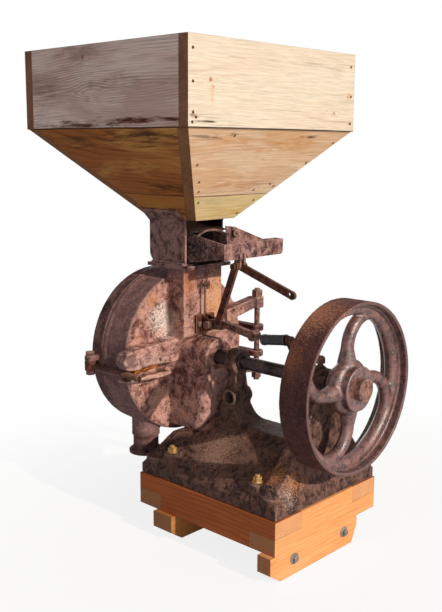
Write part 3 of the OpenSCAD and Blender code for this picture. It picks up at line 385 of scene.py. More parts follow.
@dataclass(frozen=True)
class Iron:
    """Rusty iron: a dark skin, brown and orange rust, pale bloom, and edges made bright by wear and
    by painted highlight.
    """

    name: str
    dark: str
    brown: str
    orange: str
    bloom: str
    edge: str
    orange_share: float = 0.35
    bloom_share: float = 0.2
    gloss: tuple[float, float] = (0.5, 0.85)
    metal: float = 0.25
    pitch: float = 0.03
    skin: float = 0.0006
    rounding: float = 0.003
    edge_wear_and_highlight: float = 0.5
    drip: float = 0.0
    cast: bool = False
    shine: float = 0.06
    rim: tuple[float, float] | None = None
    rim_shade_and_rust: str = "b5724a"
    rim_from: float = 0.5
    patches: tuple[Patch, ...] = ()
    crowding: float = 0.24
    soft: float = 0.12

    def tread(self, r: Recipe, colour: Socket, rough: Socket,
              speck: Socket) -> tuple[Socket, Socket, Socket]:
        """Colours a wheel's outer rim apart in specks of painted shade, and takes its gloss away.

        Args:
            r: the material's recipe.
            colour: colour of the rest.
            rough: roughness of the rest.
            speck: noise of the rust.

        Returns:
            The colour, the roughness and the shine, with the rim in them.
        """
        height, radius = self.rim
        far = r.distance((0, 0, height), (0, 1, 1))
        outer = r.levels(far, radius - 0.001, radius + 0.001)
        # painted shade: the rim colour darkens the whole outer rim, as if it lay in shade, in
        # rust-like specks
        rust = r.levels(speck, self.rim_from, self.rim_from + 0.13, 0.0, 0.8)
        colour = r.blend(r.calc("MULTIPLY", outer, rust), colour, tint(self.rim_shade_and_rust))
        rough = r.calc("MAXIMUM", rough, r.calc("MULTIPLY", outer, RIM_ROUGH))
        return colour, rough, r.levels(outer, 0.0, 1.0, self.shine, RIM_SHINE)

    def worn(self, r: Recipe, colour: Socket, fine: Socket) -> tuple[Socket, Socket]:
        """Brightens the edges, partly as wear and partly as painted highlight, and darkens the
        hollows.

        Args:
            r: the material's recipe.
            colour: colour of the skin.
            fine: the fine rust noise that breaks the bright edges up.

        Returns:
            The colour, and the normal under the bump.
        """
        normal, edge = r.edges(self.rounding)
        if self.cast:
            bent = r.add("NewGeometry").outputs["Pointiness"]
            edge = r.calc("MAXIMUM", edge, r.levels(bent, 0.515, 0.56))
            colour = r.blend(r.levels(bent, 0.44, 0.492, 0.6, 0.0), colour, tint(self.dark))
        # painted highlight, partly: the bright edge colour stands for wear and for light catching
        # the edges
        lit = r.calc("MULTIPLY", edge, r.levels(fine, 0.36, 0.56, 0.15, self.edge_wear_and_highlight))
        return r.blend(lit, colour, tint(self.edge)), normal

    def build(self) -> bpy.types.Material:
        """Builds the iron's material."""
        r = Recipe(self.name)
        wide = r.noise(r.place, WIDE / self.pitch, 3, 0.55, 0.6)
        mottle = r.noise(r.place, MOTTLE / self.pitch, 7, 0.72, 0.4)
        fine = r.noise(r.place, FINE / self.pitch, 6, 0.72)
        moved = r.mapped(r.place, (1, 1, 1), (3, 5, 7))
        other = r.noise(moved, OTHER / self.pitch, 6, 0.74, 0.5)
        grit = r.noise(r.place, GRIT, 4, 0.65)
        both = r.weighted(wide, 0.25, mottle, 0.75)
        colour = r.blend(r.levels(both, *SKIN_LEVELS), tint(self.dark), tint(self.brown))
        moved = r.mapped(r.place, (1, 1, 1), (9, 2, 4))
        rust = r.weighted(r.noise(moved, RUST / self.pitch, 4, 0.6, 0.8), 0.45, other, 0.55)
        start = ORANGE_LEVEL - SHARE_SPAN * self.orange_share
        colour = r.blend(r.levels(rust, start, start + 0.10, 0.0, 0.85), colour, tint(self.orange))
        pale = r.weighted(wide, -0.30, fine, 1.1)
        start = BLOOM_LEVEL - SHARE_SPAN * self.bloom_share
        colour = r.blend(r.levels(pale, start, start + 0.07, 0.0, 0.8), colour, tint(self.bloom))
        if self.drip > 0:
            runs = r.noise(r.mapped(r.place, (60, 60, 7)), 1.0, 4, 0.6)
            runs = r.levels(runs, *RUN_LEVELS, 0.0, self.drip)
            colour = r.blend(runs, colour, tint(self.orange))
        rough = r.levels(r.weighted(mottle, 0.6, fine, 0.4), 0.38, 0.62, *self.gloss)
        shine: float | Socket = self.shine
        if self.rim is not None:
            colour, rough, shine = self.tread(r, colour, rough, other)
        speck = r.weighted(fine, 0.5, other, 0.5)
        colour = r.patched(colour, self.patches, speck, self.crowding, self.soft)
        colour = r.blend(1.0, colour, r.grey(r.levels(grit, 0.3, 0.7, 0.70, 1.14)), "MULTIPLY")
        pits = r.levels(r.noise(r.place, PITS, 3, 0.5), *PIT_LEVELS, 0.0, 0.7)
        colour = r.blend(pits, colour, tint(self.dark))
        colour, normal = self.worn(r, colour, fine)
        height = r.weighted(fine, 0.9, grit, 0.25)
        height = r.calc("SUBTRACT", height, r.calc("MULTIPLY", pits, 0.35))
        return r.done(colour, rough, self.metal, r.bump(height, self.skin, normal), shine)


@dataclass(frozen=True)
class Rubber:
    """Black moulded rubber, worn grey on its ribs."""

    name: str
    black: str
    worn: str
    dust: float = 160.0
    grain: float = 1500.0
    skin: float = 0.0002
    rounding: float = 0.0008

    def build(self) -> bpy.types.Material:
        """Builds the rubber's material."""
        r = Recipe(self.name)
        dust = r.noise(r.place, self.dust, 5, 0.6)
        normal, edge = r.edges(self.rounding)
        mask = r.calc("ADD", r.levels(dust, 0.55, 0.8, 0.0, 0.5), r.calc("MULTIPLY", edge, 0.35))
        colour = r.blend(mask, tint(self.black), tint(self.worn))
        rough = r.levels(dust, 0.3, 0.7, 0.35, 0.6)
        height = r.noise(r.place, self.grain, 2)
        return r.done(colour, rough, 0.0, r.bump(height, self.skin, normal))


# Irons: dark, brown, orange, bloom and edge colour, shares of orange and bloom, gloss, metal.
BED_IRON = Iron(
    "bed_iron", "2c2022", "7a5c52", "a86c44", "a8968e", "b8988a", 0.34, 0.14, (0.4, 0.75), 0.0,
    pitch=0.02, rounding=0.006, drip=0.2, cast=True,
    patches=spots(
        # Orange and pale rust on the corner boss, brightened as painted light where the corner is
        # lit.
        (-0.02, -0.11, 0.19, 0.065, "d08a56", 0.7),
        (-0.01, -0.13, 0.165, 0.045, "cbb8ac", 0.65),
        # painted light: a pale pool on the bed's top where light falls between shadows.
        (-0.21, -0.1, 0.2, 0.095, "b88f7c", 0.7)))
DRUM_IRON = Iron(
    "drum_iron", "613b37", "c8998e", "d08a56", "f4e8df", "e6c0aa", 0.38, 0.2, (0.45, 0.8), 0.0,
    # The rim colour is painted shade: a dark purple-grey over the drum's whole periphery.
    pitch=0.024, rounding=0.004, cast=True, rim=(0.383, 0.1885), rim_shade_and_rust="74595c", rim_from=0.36,
    patches=spots(
        (-0.41, -0.08, 0.47, 0.065, "f6eae2", 0.7),
        (-0.41, -0.065, 0.425, 0.05, "efe0d6", 0.6),
        (-0.41, -0.108, 0.515, 0.028, "cf8d5a", 0.7),
        (-0.41, -0.085, 0.285, 0.05, "d8a48c", 0.7),
        (-0.41, -0.05, 0.25, 0.025, "e2c4a8", 0.7),
        (-0.353, 0.04, 0.5, 0.075, "e8aa7c", 0.85, (1, 1, 0.6)),
        (-0.353, 0.055, 0.44, 0.04, "f0c487", 0.9),
        (-0.353, -0.045, 0.56, 0.04, "b96f45", 0.7, (1, 1, 0.5)),
        (-0.39, -0.14, 0.385, 0.06, "c0a29c", 0.75, (1, 0.6, 1.6)),
        # painted shade: a dark spot inside the sunk bolt hole
        (-0.39, -0.114, 0.382, 0.0068, "1c100c", 0.95, (0.1, 1, 1)),
        # painted shade: a dark strip on the column's near face and the edge of the drum face beside
        # it
        (-0.4, -0.06, 0.5, 0.05, "3a1815", 0.75, (1.2, 3, 0.5))))
COVER_IRON = Iron(
    "cover_iron", "3b282a", "8a6562", "a5653c", "a88880", "c09a8c", 0.24, 0.12, (0.5, 0.85), 0.0,
    pitch=0.036, rounding=0.004, drip=0.15, cast=True)
SPOUT_IRON = replace(COVER_IRON, name="spout_iron", cast=False)
PULLEY_IRON = Iron(
    "pulley_iron", "452c2a", "80564f", "b8744a", "c4aca6", "ccb0a8", 0.24, 0.15, (0.2, 0.44), 0.04,
    pitch=0.018, rounding=0.003, edge_wear_and_highlight=0.28, cast=True, shine=0.8, rim=(0.383, 0.172),
    # The rim colour is painted shade: the tread darkened all round.
    rim_shade_and_rust="452c2c", rim_from=0.36,
    patches=spots(
        # Rust, brightened as painted light: the top of the tread is lighter where light falls on
        # it.
        (0.03, -0.08, 0.545, 0.11, "bc8268", 0.8),
        (0.03, -0.165, 0.47, 0.06, "9c6248", 0.6)))
BAR_IRON = Iron(
    "bar_iron", "3a1f19", "6f4336", "9c5a38", "a07c70", "d2a68e", 0.22, 0.12, (0.28, 0.55), 0.08,
    pitch=0.02, skin=0.0004, rounding=0.0022, edge_wear_and_highlight=0.95)
SHEET_IRON = Iron(
    "sheet_iron", "4b3234", "ab857e", "bd7f5a", "c8aca4", "e6c8bc", 0.22, 0.16, (0.42, 0.75), 0.0,
    pitch=0.024, skin=0.0005, rounding=0.0015, edge_wear_and_highlight=0.85, drip=0.2)
# Sheet iron with painted shade: a dark patch on the feed pan's near wall.
PAN_SHEET = replace(
    SHEET_IRON, name="pan_sheet",
    patches=spots((-0.33, -0.06, 0.64, 0.09, "221819", 0.9)))
# A darker copy of the sheet iron, as painted shade, for the throat parts under the funnel.
SHADE_SHEET = replace(
    SHEET_IRON, name="shade_sheet", dark="231a1b", brown="3f2e2c", orange="5e3c2c", bloom="5a4743",
    edge="6a524a")
SHAFT_IRON = Iron(
    "shaft_iron", "2a2325", "574848", "875a40", "8a7a74", "9c8e86", 0.15, 0.12, (0.3, 0.55), 0.35,
    pitch=0.026, skin=0.0003, rounding=0.0012)
NUT_IRON = Iron(
    "nut_iron", "553a35", "a17a6d", "b5744a", "c4aca0", "dcc0b2", 0.3, 0.25, (0.42, 0.75), 0.05,
    pitch=0.012, skin=0.0004, rounding=0.0016, edge_wear_and_highlight=0.85)
BOLT_STEEL = replace(
    NUT_IRON, name="bolt_steel", dark="5a544f", brown="97908a", orange="a87c58", bloom="c4c0bb",
    edge="e2ded8", metal=0.4)
PLATE_IRON = Iron(
    "plate_iron", "3a3431", "6d635d", "8a5a3c", "9a8f88", "b5aca5", 0.15, 0.3, (0.35, 0.6), 0.5,
    pitch=0.03, skin=0.0004, rounding=0.0012)
SCALE_IRON = Iron(
    "orange_scale", "6b3a22", "b0642e", "dd8f42", "e8b480", "efb277", 0.55, 0.3, (0.7, 0.9), 0.0,
    pitch=0.012, skin=0.0008, rounding=0.001)
YELLOW_BRASS = Iron(
    "yellow_brass", "9c6d34", "d8a862", "c0854a", "edcf98", "f8e4b4", 0.22, 0.3, (0.35, 0.6), 0.3,
    pitch=0.01, skin=0.0003, rounding=0.0014, edge_wear_and_highlight=0.9)
GRIP_RUBBER = Rubber("grip_rubber", "1b181e", "625a60")

# Woods: grain, early, late and tone colour, ring width, pith, tilt, contrast, blotch, dirt and end
# colour, end share, end from. Seams: height, half width, share.
BOX_SEAM = ((0.8962, 0.0022, 0.95),)
BOX_NEAR = Wood(
    "box_near_pine", Grain.X, "ffe6dc", "7a483a", "cc9e8e", 0.0062, (0.258, -0.985), 0.035, 1.0,
    0.6, "3a231c", "9a6a50", 0.97,
    knots=spots(
        (-0.42, -0.265, 0.985, 0.01, "8a6250", 0.3),
        (-0.432, -0.265, 0.955, 0.009, "8c6852", 0.25),
        (-0.445, -0.265, 1.04, 0.007, "6a4a3a", 0.5)),
    patches=spots(
        (-0.32, -0.265, 0.908, 0.085, "5a2416", 0.95, (0.4, 1, 5.5)),
        (-0.47, -0.265, 0.903, 0.08, "5a2c1e", 0.9, (0.4, 1, 7.0)),
        (-0.2, -0.265, 0.911, 0.07, "5a2416", 0.95, (0.4, 1, 7.0)),
        (-0.6, -0.265, 0.975, 0.06, "9a7564", 0.6, (0.6, 1, 1.2)),
        (-0.46, -0.265, 1.05, 0.06, "8a5f48", 0.5, (0.5, 1, 2.0)),
        (-0.35, -0.265, 0.987, 0.06, "8f6454", 0.5, (0.4, 1, 3.0))),
    seams=BOX_SEAM)
BOX_FAR = replace(
    BOX_NEAR, name="box_far_pine", pith=(-0.21, -0.93),
    knots=spots((-0.35, 0.265, 0.99, 0.011, "5e3a22", 0.75)),
    patches=())
BOX_FRONT = Wood(
    "box_front_pine", Grain.Y, "e4d6c4", "caae8e", "decab2", 0.0088, (0.17, -0.93), 0.03, 0.42,
    0.45, "5a3d2b", "9a6a50", 0.97,
    knots=spots(
        (-0.134, -0.205, 0.985, 0.0045, "b06a42", 0.8),
        (-0.134, -0.197, 0.972, 0.004, "b06a42", 0.7),
        (-0.134, 0.19, 0.935, 0.005, "a8713f", 0.6)),
    patches=spots(
        (-0.134, -0.2, 0.955, 0.025, "dc9c68", 0.6, (1, 2.5, 0.6)),
        (-0.134, -0.252, 1.04, 0.0065, "7a5240", 0.8, (1, 0.7, 1)),
        (-0.134, -0.25, 0.918, 0.012, "8a6048", 0.8, (1, 0.6, 1)),
        (-0.134, -0.235, 0.921, 0.03, "4a2a1a", 0.9, (1, 0.6, 12.0)),
        (-0.134, -0.225, 0.908, 0.045, "4a2a1a", 0.9, (1, 0.6, 16.0)),
        (-0.134, 0.252, 0.913, 0.01, "8a6048", 0.8),
        (-0.134, 0.245, 0.975, 0.014, "c98a55", 0.7)),
    seams=BOX_SEAM)
BOX_REAR = replace(
    BOX_FRONT, name="box_rear_pine", early="dcbf9c", late="a88462", tone="c2a07c",
    pith=(0.7, -1.02),
    knots=spots((-0.651, 0.08, 1.0, 0.01, "6e4527", 0.75)),
    patches=())
FUNNEL_SEAM = ((0.756, 0.001, 0.8),)
FUNNEL_FRONT = Wood(
    "funnel_front_pine", Grain.Y, "fbdab9", "cb9264", "eeb784", 0.0075, (0.3, -0.86), 0.05, 0.5,
    0.6, "4e2e1a", "8e6040", 0.95, 0.3, lower=0.754, lower_code="f6dc9a", seams=FUNNEL_SEAM,
    knots=spots(
        (-0.193, 0.02, 0.835, 0.004, "8a5428", 0.7),
        (-0.256, 0.06, 0.765, 0.005, "74411e", 0.75)),
    patches=spots(
        (-0.142, -0.119, 0.882, 0.016, "3c2114", 0.95, (1, 0.45, 1.6)),
        (-0.142, 0.127, 0.882, 0.018, "3c2114", 0.95, (1, 0.45, 1.6)),
        (-0.142, -0.2, 0.878, 0.03, "5a351d", 0.8, (1, 0.4, 3.0)),
        (-0.16, 0.02, 0.868, 0.09, "d18c4c", 0.6, (0.8, 0.4, 3.0)),
        (-0.242, -0.02, 0.778, 0.07, "c57c40", 0.6, (0.8, 0.5, 3.0)),
        (-0.275, -0.05, 0.744, 0.05, "bdb692", 0.6, (1, 0.5, 4.0)),
        (-0.3, 0.03, 0.715, 0.04, "e8a93e", 0.6, (1, 0.5, 3.0))))
FUNNEL_REAR = replace(
    FUNNEL_FRONT, name="funnel_rear_pine", early="c99a6c", late="8a5c30", knots=(), patches=())
FUNNEL_NEAR = Wood(
    "funnel_near_pine", Grain.X, "aa6838", "4a200c", "d69c5a", 0.012, (0.3, -0.9), 0.16, 0.6, 0.75,
    "2c180e", "8e6040", 0.9, 0.3, lower=0.754, lower_code="b5793e", seams=FUNNEL_SEAM,
    patches=spots(
        (-0.28, -0.245, 0.88, 0.09, "2c150a", 0.9, (0.5, 1, 3.0)),
        (-0.5, -0.225, 0.87, 0.08, "43240f", 0.6, (0.5, 1, 3.0)),
        (-0.3, -0.12, 0.775, 0.08, "2c150a", 0.85, (0.5, 1, 3.0)),
        (-0.36, -0.17, 0.825, 0.06, "e0aa66", 0.55, (0.7, 1, 1.4)),
        (-0.33, -0.08, 0.722, 0.045, "2a160c", 0.8, (0.5, 1, 2.0))))
FUNNEL_FAR = replace(FUNNEL_NEAR, name="funnel_far_pine", patches=())
RAIL_PINE = Wood(
    "rail_pine", Grain.X, "c66f42", "8e4a28", "aa5f36", 0.008, (0.13, -0.05), 0.02, 0.7, 0.5,
    "4a2a18", "dca274", 0.9, end_dirt=0.12)
BEARER_PINE = Wood(
    "bearer_pine", Grain.Y, "f3ac74", "c4783f", "e0955a", 0.009, (-0.02, -0.02), 0.02, 0.55, 0.5,
    "7a4a28", "b07a58", 0.9, end_dirt=0.15,
    knots=spots((0.017, 0.028, 0.062, 0.0035, "6b3a1c", 0.9)))
SKID_PINE = replace(
    BEARER_PINE, name="skid_pine", early="b87c48", late="8a552c", tone="a56c38", knots=())

Finish = Wood | Iron | Rubber
NODES_OF: tuple[tuple[Finish, str], ...] = (
    (RAIL_PINE, "rail_near rail_far"),
    (BEARER_PINE, "front_bearer"),
    (SKID_PINE, "rear_cross_rail rear_skid"),
    (BOX_FRONT, "box_board_front"),
    (BOX_REAR, "box_board_rear"),
    (BOX_NEAR, "box_board_near"),
    (BOX_FAR, "box_board_far"),
    (FUNNEL_FRONT, "funnel_front"),
    (FUNNEL_REAR, "funnel_rear"),
    (FUNNEL_NEAR, "funnel_near"),
    (FUNNEL_FAR, "funnel_far"),
    (BED_IRON, "bed_casting"),
    (DRUM_IRON, "front_casing"),
    (COVER_IRON, "rear_cover"),
    (SPOUT_IRON, "discharge_spout"),
    (PULLEY_IRON, "pulley"),
    (SHAFT_IRON, "inner_bearing_bush adjusting_sleeve thrust_ring main_shaft pulley_key "
                 "shaft_collar feed_screw"),
    (PLATE_IRON, "fixed_plate plate_screws runner_plate"),
    (SHEET_IRON, "throat_flange throat_plate_near gate_plate"),
    # painted shade: the far throat plate and the chute wear the darker sheet iron
    (SHADE_SHEET, "throat_plate_far throat_chute"),
    (PAN_SHEET, "feed_pan"),
    (BAR_IRON, "adjusting_lever swing_bolt feed_lever lever_pin rocker_bracket rocker_link "
               "pan_hinge_rod"),
    # The pan strap wears this lighter finish as painted light, for sun falling on it.
    (NUT_IRON, "oil_cup shaft_end_disc casing_bolts runner_nut hinge_pin hinge_nuts latch_pin "
               "throat_bolts pan_strap rocker_arm rocker_pin bracket_bolts gate_bolts"),
    (BOLT_STEEL, "coach_bolts"),
    (YELLOW_BRASS, "hold_down_studs hold_down_nuts"),
    (GRIP_RUBBER, "adjusting_grip"))
FINISH_OF = {node: finish for finish, nodes in NODES_OF for node in nodes.split()}


class Wardrobe:
    """Builds each finish once and puts it on nodes and pieces."""

    def __init__(self) -> None:
        """Starts with no material built."""
        self.built: dict[str, bpy.types.Material] = {}

    def material(self, finish: Finish) -> bpy.types.Material:
        """Gives the material of a finish, built at its first use."""
        if finish.name not in self.built:
            self.built[finish.name] = finish.build()
        return self.built[finish.name]

    def dress(self, piece: bpy.types.Object, finish: Finish) -> None:
        """Puts one finish on every slot of a piece."""
        if not piece.material_slots:
            piece.data.materials.append(None)
        for slot in piece.material_slots:
            slot.material = self.material(finish)

    def dress_nodes(self, nodes: dict[str, bpy.types.Object]) -> None:
        """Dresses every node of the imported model."""
        for name, node in nodes.items():
            self.dress(node, FINISH_OF[name])
        LOG.info("dressed %d nodes", len(nodes))


def linked(name: str, data: bpy.types.ID) -> bpy.types.Object:
    """Makes an object of its data and puts it into the scene."""
    made = bpy.data.objects.new(name, data)
    bpy.context.scene.collection.objects.link(made)
    return made


def solid(bm: Shape, name: str) -> bpy.types.Object:
    """Makes an object of a shape in the frame of the model, and frees the shape."""
    mesh = bpy.data.meshes.new(name)
    bm.to_mesh(mesh)
    bm.free()
    return linked(name, mesh)


class Bench:
    """Turns a bmesh into a finished piece that rides on a body."""

    def __init__(self, wardrobe: Wardrobe) -> None:
        """Keeps the wardrobe that dresses the pieces."""
        self.wardrobe = wardrobe

    def place(self, bm: Shape, name: str, finish: Finish, body: str, slot: str,
              sharp: float = 40.0) -> bpy.types.Object:
        """Makes the piece.

        Args:
            bm: its shape, in the frame of the model; it is freed.
            name: name of the piece.
            finish: what it is dressed in.
            body: the body that it rides on.
            slot: not used.
            sharp: edges that turn by more degrees than this stay crisp.
        """
        bmesh.ops.recalc_face_normals(bm, faces=bm.faces[:])
        for face in bm.faces:
            face.smooth = True
        for edge in bm.edges:
            edge.smooth = edge.calc_face_angle(0.0) < math.radians(sharp)
        piece = solid(bm, name)
        self.wardrobe.dress(piece, finish)
        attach(piece, body)
        LOG.info("piece %s rides on %s with %d faces", name, body, len(piece.data.polygons))
        return piece


def axis_matrix(start: Vector, direction: Vector) -> Matrix:
    """Gives the matrix that takes +Z to a direction, from a start point."""
    turned = direction.to_track_quat("Z", "Y").to_matrix().to_4x4()
    return Matrix.Translation(start) @ turned


@dataclass
class Threads:
    """Screw threads on the bare ends of studs and pins."""

    bench: Bench
    steps: int = 14
    root: float = 0.0003
    rise: float = 0.28
    width: float = 0.9
    stud_radius: float = 0.005
    stud_pitch: float = 0.0017
    pin_pitch: float = 0.002
    bolt_radius: float = 0.007
    bolt_reach: float = 0.055
    bolt_pitch: float = 0.0022

    def cut(self, bm: Shape, start: Vector, direction: Vector, length: float, radius: float,
            pitch: float) -> None:
        """Winds one thread round an axis.

        Args:
            bm: where the thread goes.
            start: the lower end of the axis.
            direction: the way the thread climbs.
            length: how far it climbs.
            radius: radius of the bare rod.
            pitch: rise of one turn.
        """
        turns = max(1, int(length / pitch) - 1)
        foot = radius - self.root
        corners = ((foot, 0.0), (radius + pitch * self.rise, pitch * self.width / 2),
                   (foot, pitch * self.width))
        verts = [bm.verts.new((r, 0.0, z)) for r, z in corners]
        ridge = [bm.edges.new((a, b)) for a, b in zip(verts, verts[1:] + verts[:1])]
        before = set(bm.verts) - set(verts)
        bmesh.ops.spin(bm, geom=verts + ridge, cent=ORIGIN, axis=(0, 0, 1),
                       dvec=(0, 0, pitch / self.steps), angle=math.tau * turns,
                       steps=self.steps * turns, use_merge=False)
        loose = [v for v in bm.verts if v not in before]
        rims = [e for e in bm.edges if e.is_boundary and e.verts[0] not in before]
        bmesh.ops.holes_fill(bm, edges=rims, sides=3)
        bmesh.ops.transform(bm, matrix=axis_matrix(start, direction), verts=loose)

    def build(self) -> None:
        """Threads the hold-down studs, the hinge pin's ends and the swing bolt."""
        up = Vector((0, 0, 1))
        low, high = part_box("hold_down_studs")
        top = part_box("hold_down_nuts")[1].z
        bm = bmesh.new()
        inset = self.stud_radius
        for x in (low.x + inset, high.x - inset):
            for y in (low.y + inset, high.y - inset):
                self.cut(bm, Vector((x, y, top)), up, high.z - top, inset, self.stud_pitch)
        self.bench.place(bm, "stud_threads", YELLOW_BRASS, "mill", "brass")
        low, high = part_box("hinge_pin")
        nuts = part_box("hinge_nuts")
        bm = bmesh.new()
        middle = (low + high) / 2
        radius = (high.x - low.x) / 2
        for start, end in ((nuts[1].z, high.z), (low.z, nuts[0].z)):
            self.cut(bm, Vector((middle.x, middle.y, start)), up, end - start, radius,
                     self.pin_pitch)
        self.bench.place(bm, "hinge_pin_threads", NUT_IRON, "mill", "fasteners")
        low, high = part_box("swing_bolt")
        bm = bmesh.new()
        start = Vector((high.x - self.bolt_reach, (low.y + high.y) / 2, (low.z + high.z) / 2))
        self.cut(bm, start, Vector((1, 0, 0)), self.bolt_reach, self.bolt_radius, self.bolt_pitch)
        self.bench.place(bm, "swing_bolt_thread", BAR_IRON, "latch", "wrought")


@dataclass
class Grip:
    """Ribbed rubber grip on the adjusting lever, in place of its plain solid."""

    bench: Bench
    start: Point = (-0.051, -0.056, 0.471)
    lean: float = 8.0
    near_end: float = 0.008
    far_end: float = 0.0728
    ribs: int = 9
    core: float = 0.0097
    rib: float = 0.0110
    collar: float = 0.0119
    bore: float = 0.0062
    collar_length: float = 0.005
    cap_length: float = 0.008
    step: float = 0.001
    rounding: float = 0.002

    def profile(self) -> list[tuple[float, float]]:
        """Gives the grip's outline as radius and height, from its collar to its round end."""
        first = self.near_end + self.collar_length
        last = self.far_end - self.cap_length
        points = [(self.bore, self.near_end), (self.collar, self.near_end), (self.collar, first),
                  (self.core, first + self.step)]
        pitch = (last - first - 2 * self.step) / self.ribs
        for i in range(self.ribs):
            low = first + self.step + i * pitch
            for share, radius in ((0.25, self.core), (0.4, self.rib), (0.8, self.rib),
                                  (0.95, self.core)):
                points.append((radius, low + share * pitch))
        return points + [(self.collar, last), (self.collar, self.far_end - self.rounding),
                         (self.collar - self.rounding, self.far_end), (self.bore, self.far_end)]

    def build(self) -> None:
        """Spins the outline round the handle."""
        bm = bmesh.new()
        verts = [bm.verts.new((radius, 0.0, height)) for radius, height in self.profile()]
        line = [bm.edges.new(pair) for pair in zip(verts, verts[1:] + verts[:1])]
        bmesh.ops.spin(bm, geom=verts + line, cent=ORIGIN, axis=(0, 0, 1), angle=math.tau,
                       steps=40, use_merge=True)
        bmesh.ops.remove_doubles(bm, verts=bm.verts[:], dist=WELD)
        angle = math.radians(90 + self.lean)
        direction = Vector((-math.sin(angle), 0, math.cos(angle)))
        bmesh.ops.transform(bm, matrix=axis_matrix(Vector(self.start), direction),
                            verts=bm.verts[:])
        piece = self.bench.place(bm, "ribbed_grip", GRIP_RUBBER, "adjuster", "grip", 50.0)
        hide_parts("adjusting_grip")


@dataclass(frozen=True)
class Flaking:
    """A box in which the skin has scaled off in layers, like the grain of old wood."""

    low: Point
    high: Point
    scale: Point
    depth: float
    layers: float = 2.5
    fade: float = 0.006
    fractal: tuple[float, float, int] = (0.8, 2.1, 4)

    def apply(self, bm: Shape) -> None:
        """Moves the skin in the box up and down by its layers."""
        bm.normal_update()
        moves = []
        for vert in bm.verts:
            inside = min(min(vert.co[i] - self.low[i], self.high[i] - vert.co[i]) for i in range(3))
            if inside > 0:
                spot = Vector([vert.co[i] * self.scale[i] for i in range(3)])
                layer = noise.fractal(spot, *self.fractal) * self.layers
                layer = 0.5 * layer + 0.5 * math.floor(layer + 0.5)
                lift = layer / self.layers * self.depth * min(1, inside / self.fade)
                moves.append((vert, vert.normal * lift))
        for vert, move in moves:
            vert.co += move


@dataclass
class CastSkin:
    """A casting as it leaves the sand: its solid with soft corners, fillets and an uneven skin."""

    bench: Bench
    node: str
    body: str
    slot: str
    voxel: float
    smoothing: int = 5
    waviness: float = 0.0007
    sand_size: float = 0.014
    middle: float = 0.6
    sharp: float = 75.0
    flaking: Flaking | None = None

    def build(self) -> None:
        """Remeshes a copy of the node and lets it stand for the node."""
        source = bpy.data.objects[self.node]
        bm = bmesh.new()
        bm.from_mesh(source.data)
        bmesh.ops.remove_doubles(bm, verts=bm.verts[:], dist=WELD)
        rough = solid(bm, self.node + "_rough")
        grid = rough.modifiers.new("grid", "REMESH")
        grid.mode = "VOXEL"
        grid.voxel_size = self.voxel
        soft = rough.modifiers.new("soft", "SMOOTH")
        soft.iterations = self.smoothing
        soft.factor = 0.5
        sand = bpy.data.textures.new(self.node + "_sand", "CLOUDS")
        sand.noise_scale = self.sand_size
        uneven = rough.modifiers.new("uneven", "DISPLACE")
        uneven.texture = sand
        uneven.strength = self.waviness
        uneven.mid_level = self.middle
        graph = bpy.context.evaluated_depsgraph_get()
        made = bmesh.new()
        made.from_object(rough, graph)
        bpy.data.objects.remove(rough)
        if self.flaking is not None:
            self.flaking.apply(made)
        piece = self.bench.place(made, self.node + "_cast", FINISH_OF[self.node], self.body,
                                 self.slot, self.sharp)
        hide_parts(self.node)


@dataclass
class RustLumps:
    """Heaped orange scale in the mouth of the latch fork."""

    bench: Bench
    seed: int = 7
    count: int = 26
    across: tuple[float, float] = (-0.402, -0.386)
    along: tuple[float, float] = (-0.188, -0.120)
    height: float = 0.3665
    spread: float = 0.006
    slope: float = 0.10
    sizes: tuple[tuple[float, float], ...] = ((0.004, 0.008), (0.007, 0.014), (0.0025, 0.0045))
    turns: Point = (0.4, 0.4, 0.3)
    ragged: float = 0.45
    waves: float = 1.6
    apart: float = 40.0

    def build(self) -> None:
        """Heaps ragged lumps against the drum's face."""
        draw = Random(self.seed)
        bm = bmesh.new()
        for _ in range(self.count):
            centre = Vector((draw.uniform(*self.across), draw.uniform(*self.along), 0.0))
            centre.z = (self.height + self.spread * draw.uniform(-1, 1)
                        + self.slope * (centre.y - self.along[0]) * draw.random())
            size = [draw.uniform(*limits) for limits in self.sizes]
            turn = Euler([draw.uniform(-most, most) for most in self.turns])
            shift = Vector([draw.random() for _ in range(3)]) * self.apart
            lump = bmesh.ops.create_icosphere(bm, subdivisions=3, radius=1.0)["verts"]
            for vert in lump:
                vert.co *= 1 + self.ragged * noise.noise(vert.co * self.waves + shift)
            shape = (Matrix.Translation(centre) @ turn.to_matrix().to_4x4()
                     @ Matrix.Diagonal((*size, 1)))
            bmesh.ops.transform(bm, matrix=shape, verts=lump)
        self.bench.place(bm, "latch_rust_lumps", SCALE_IRON, "mill", "cast_pink")


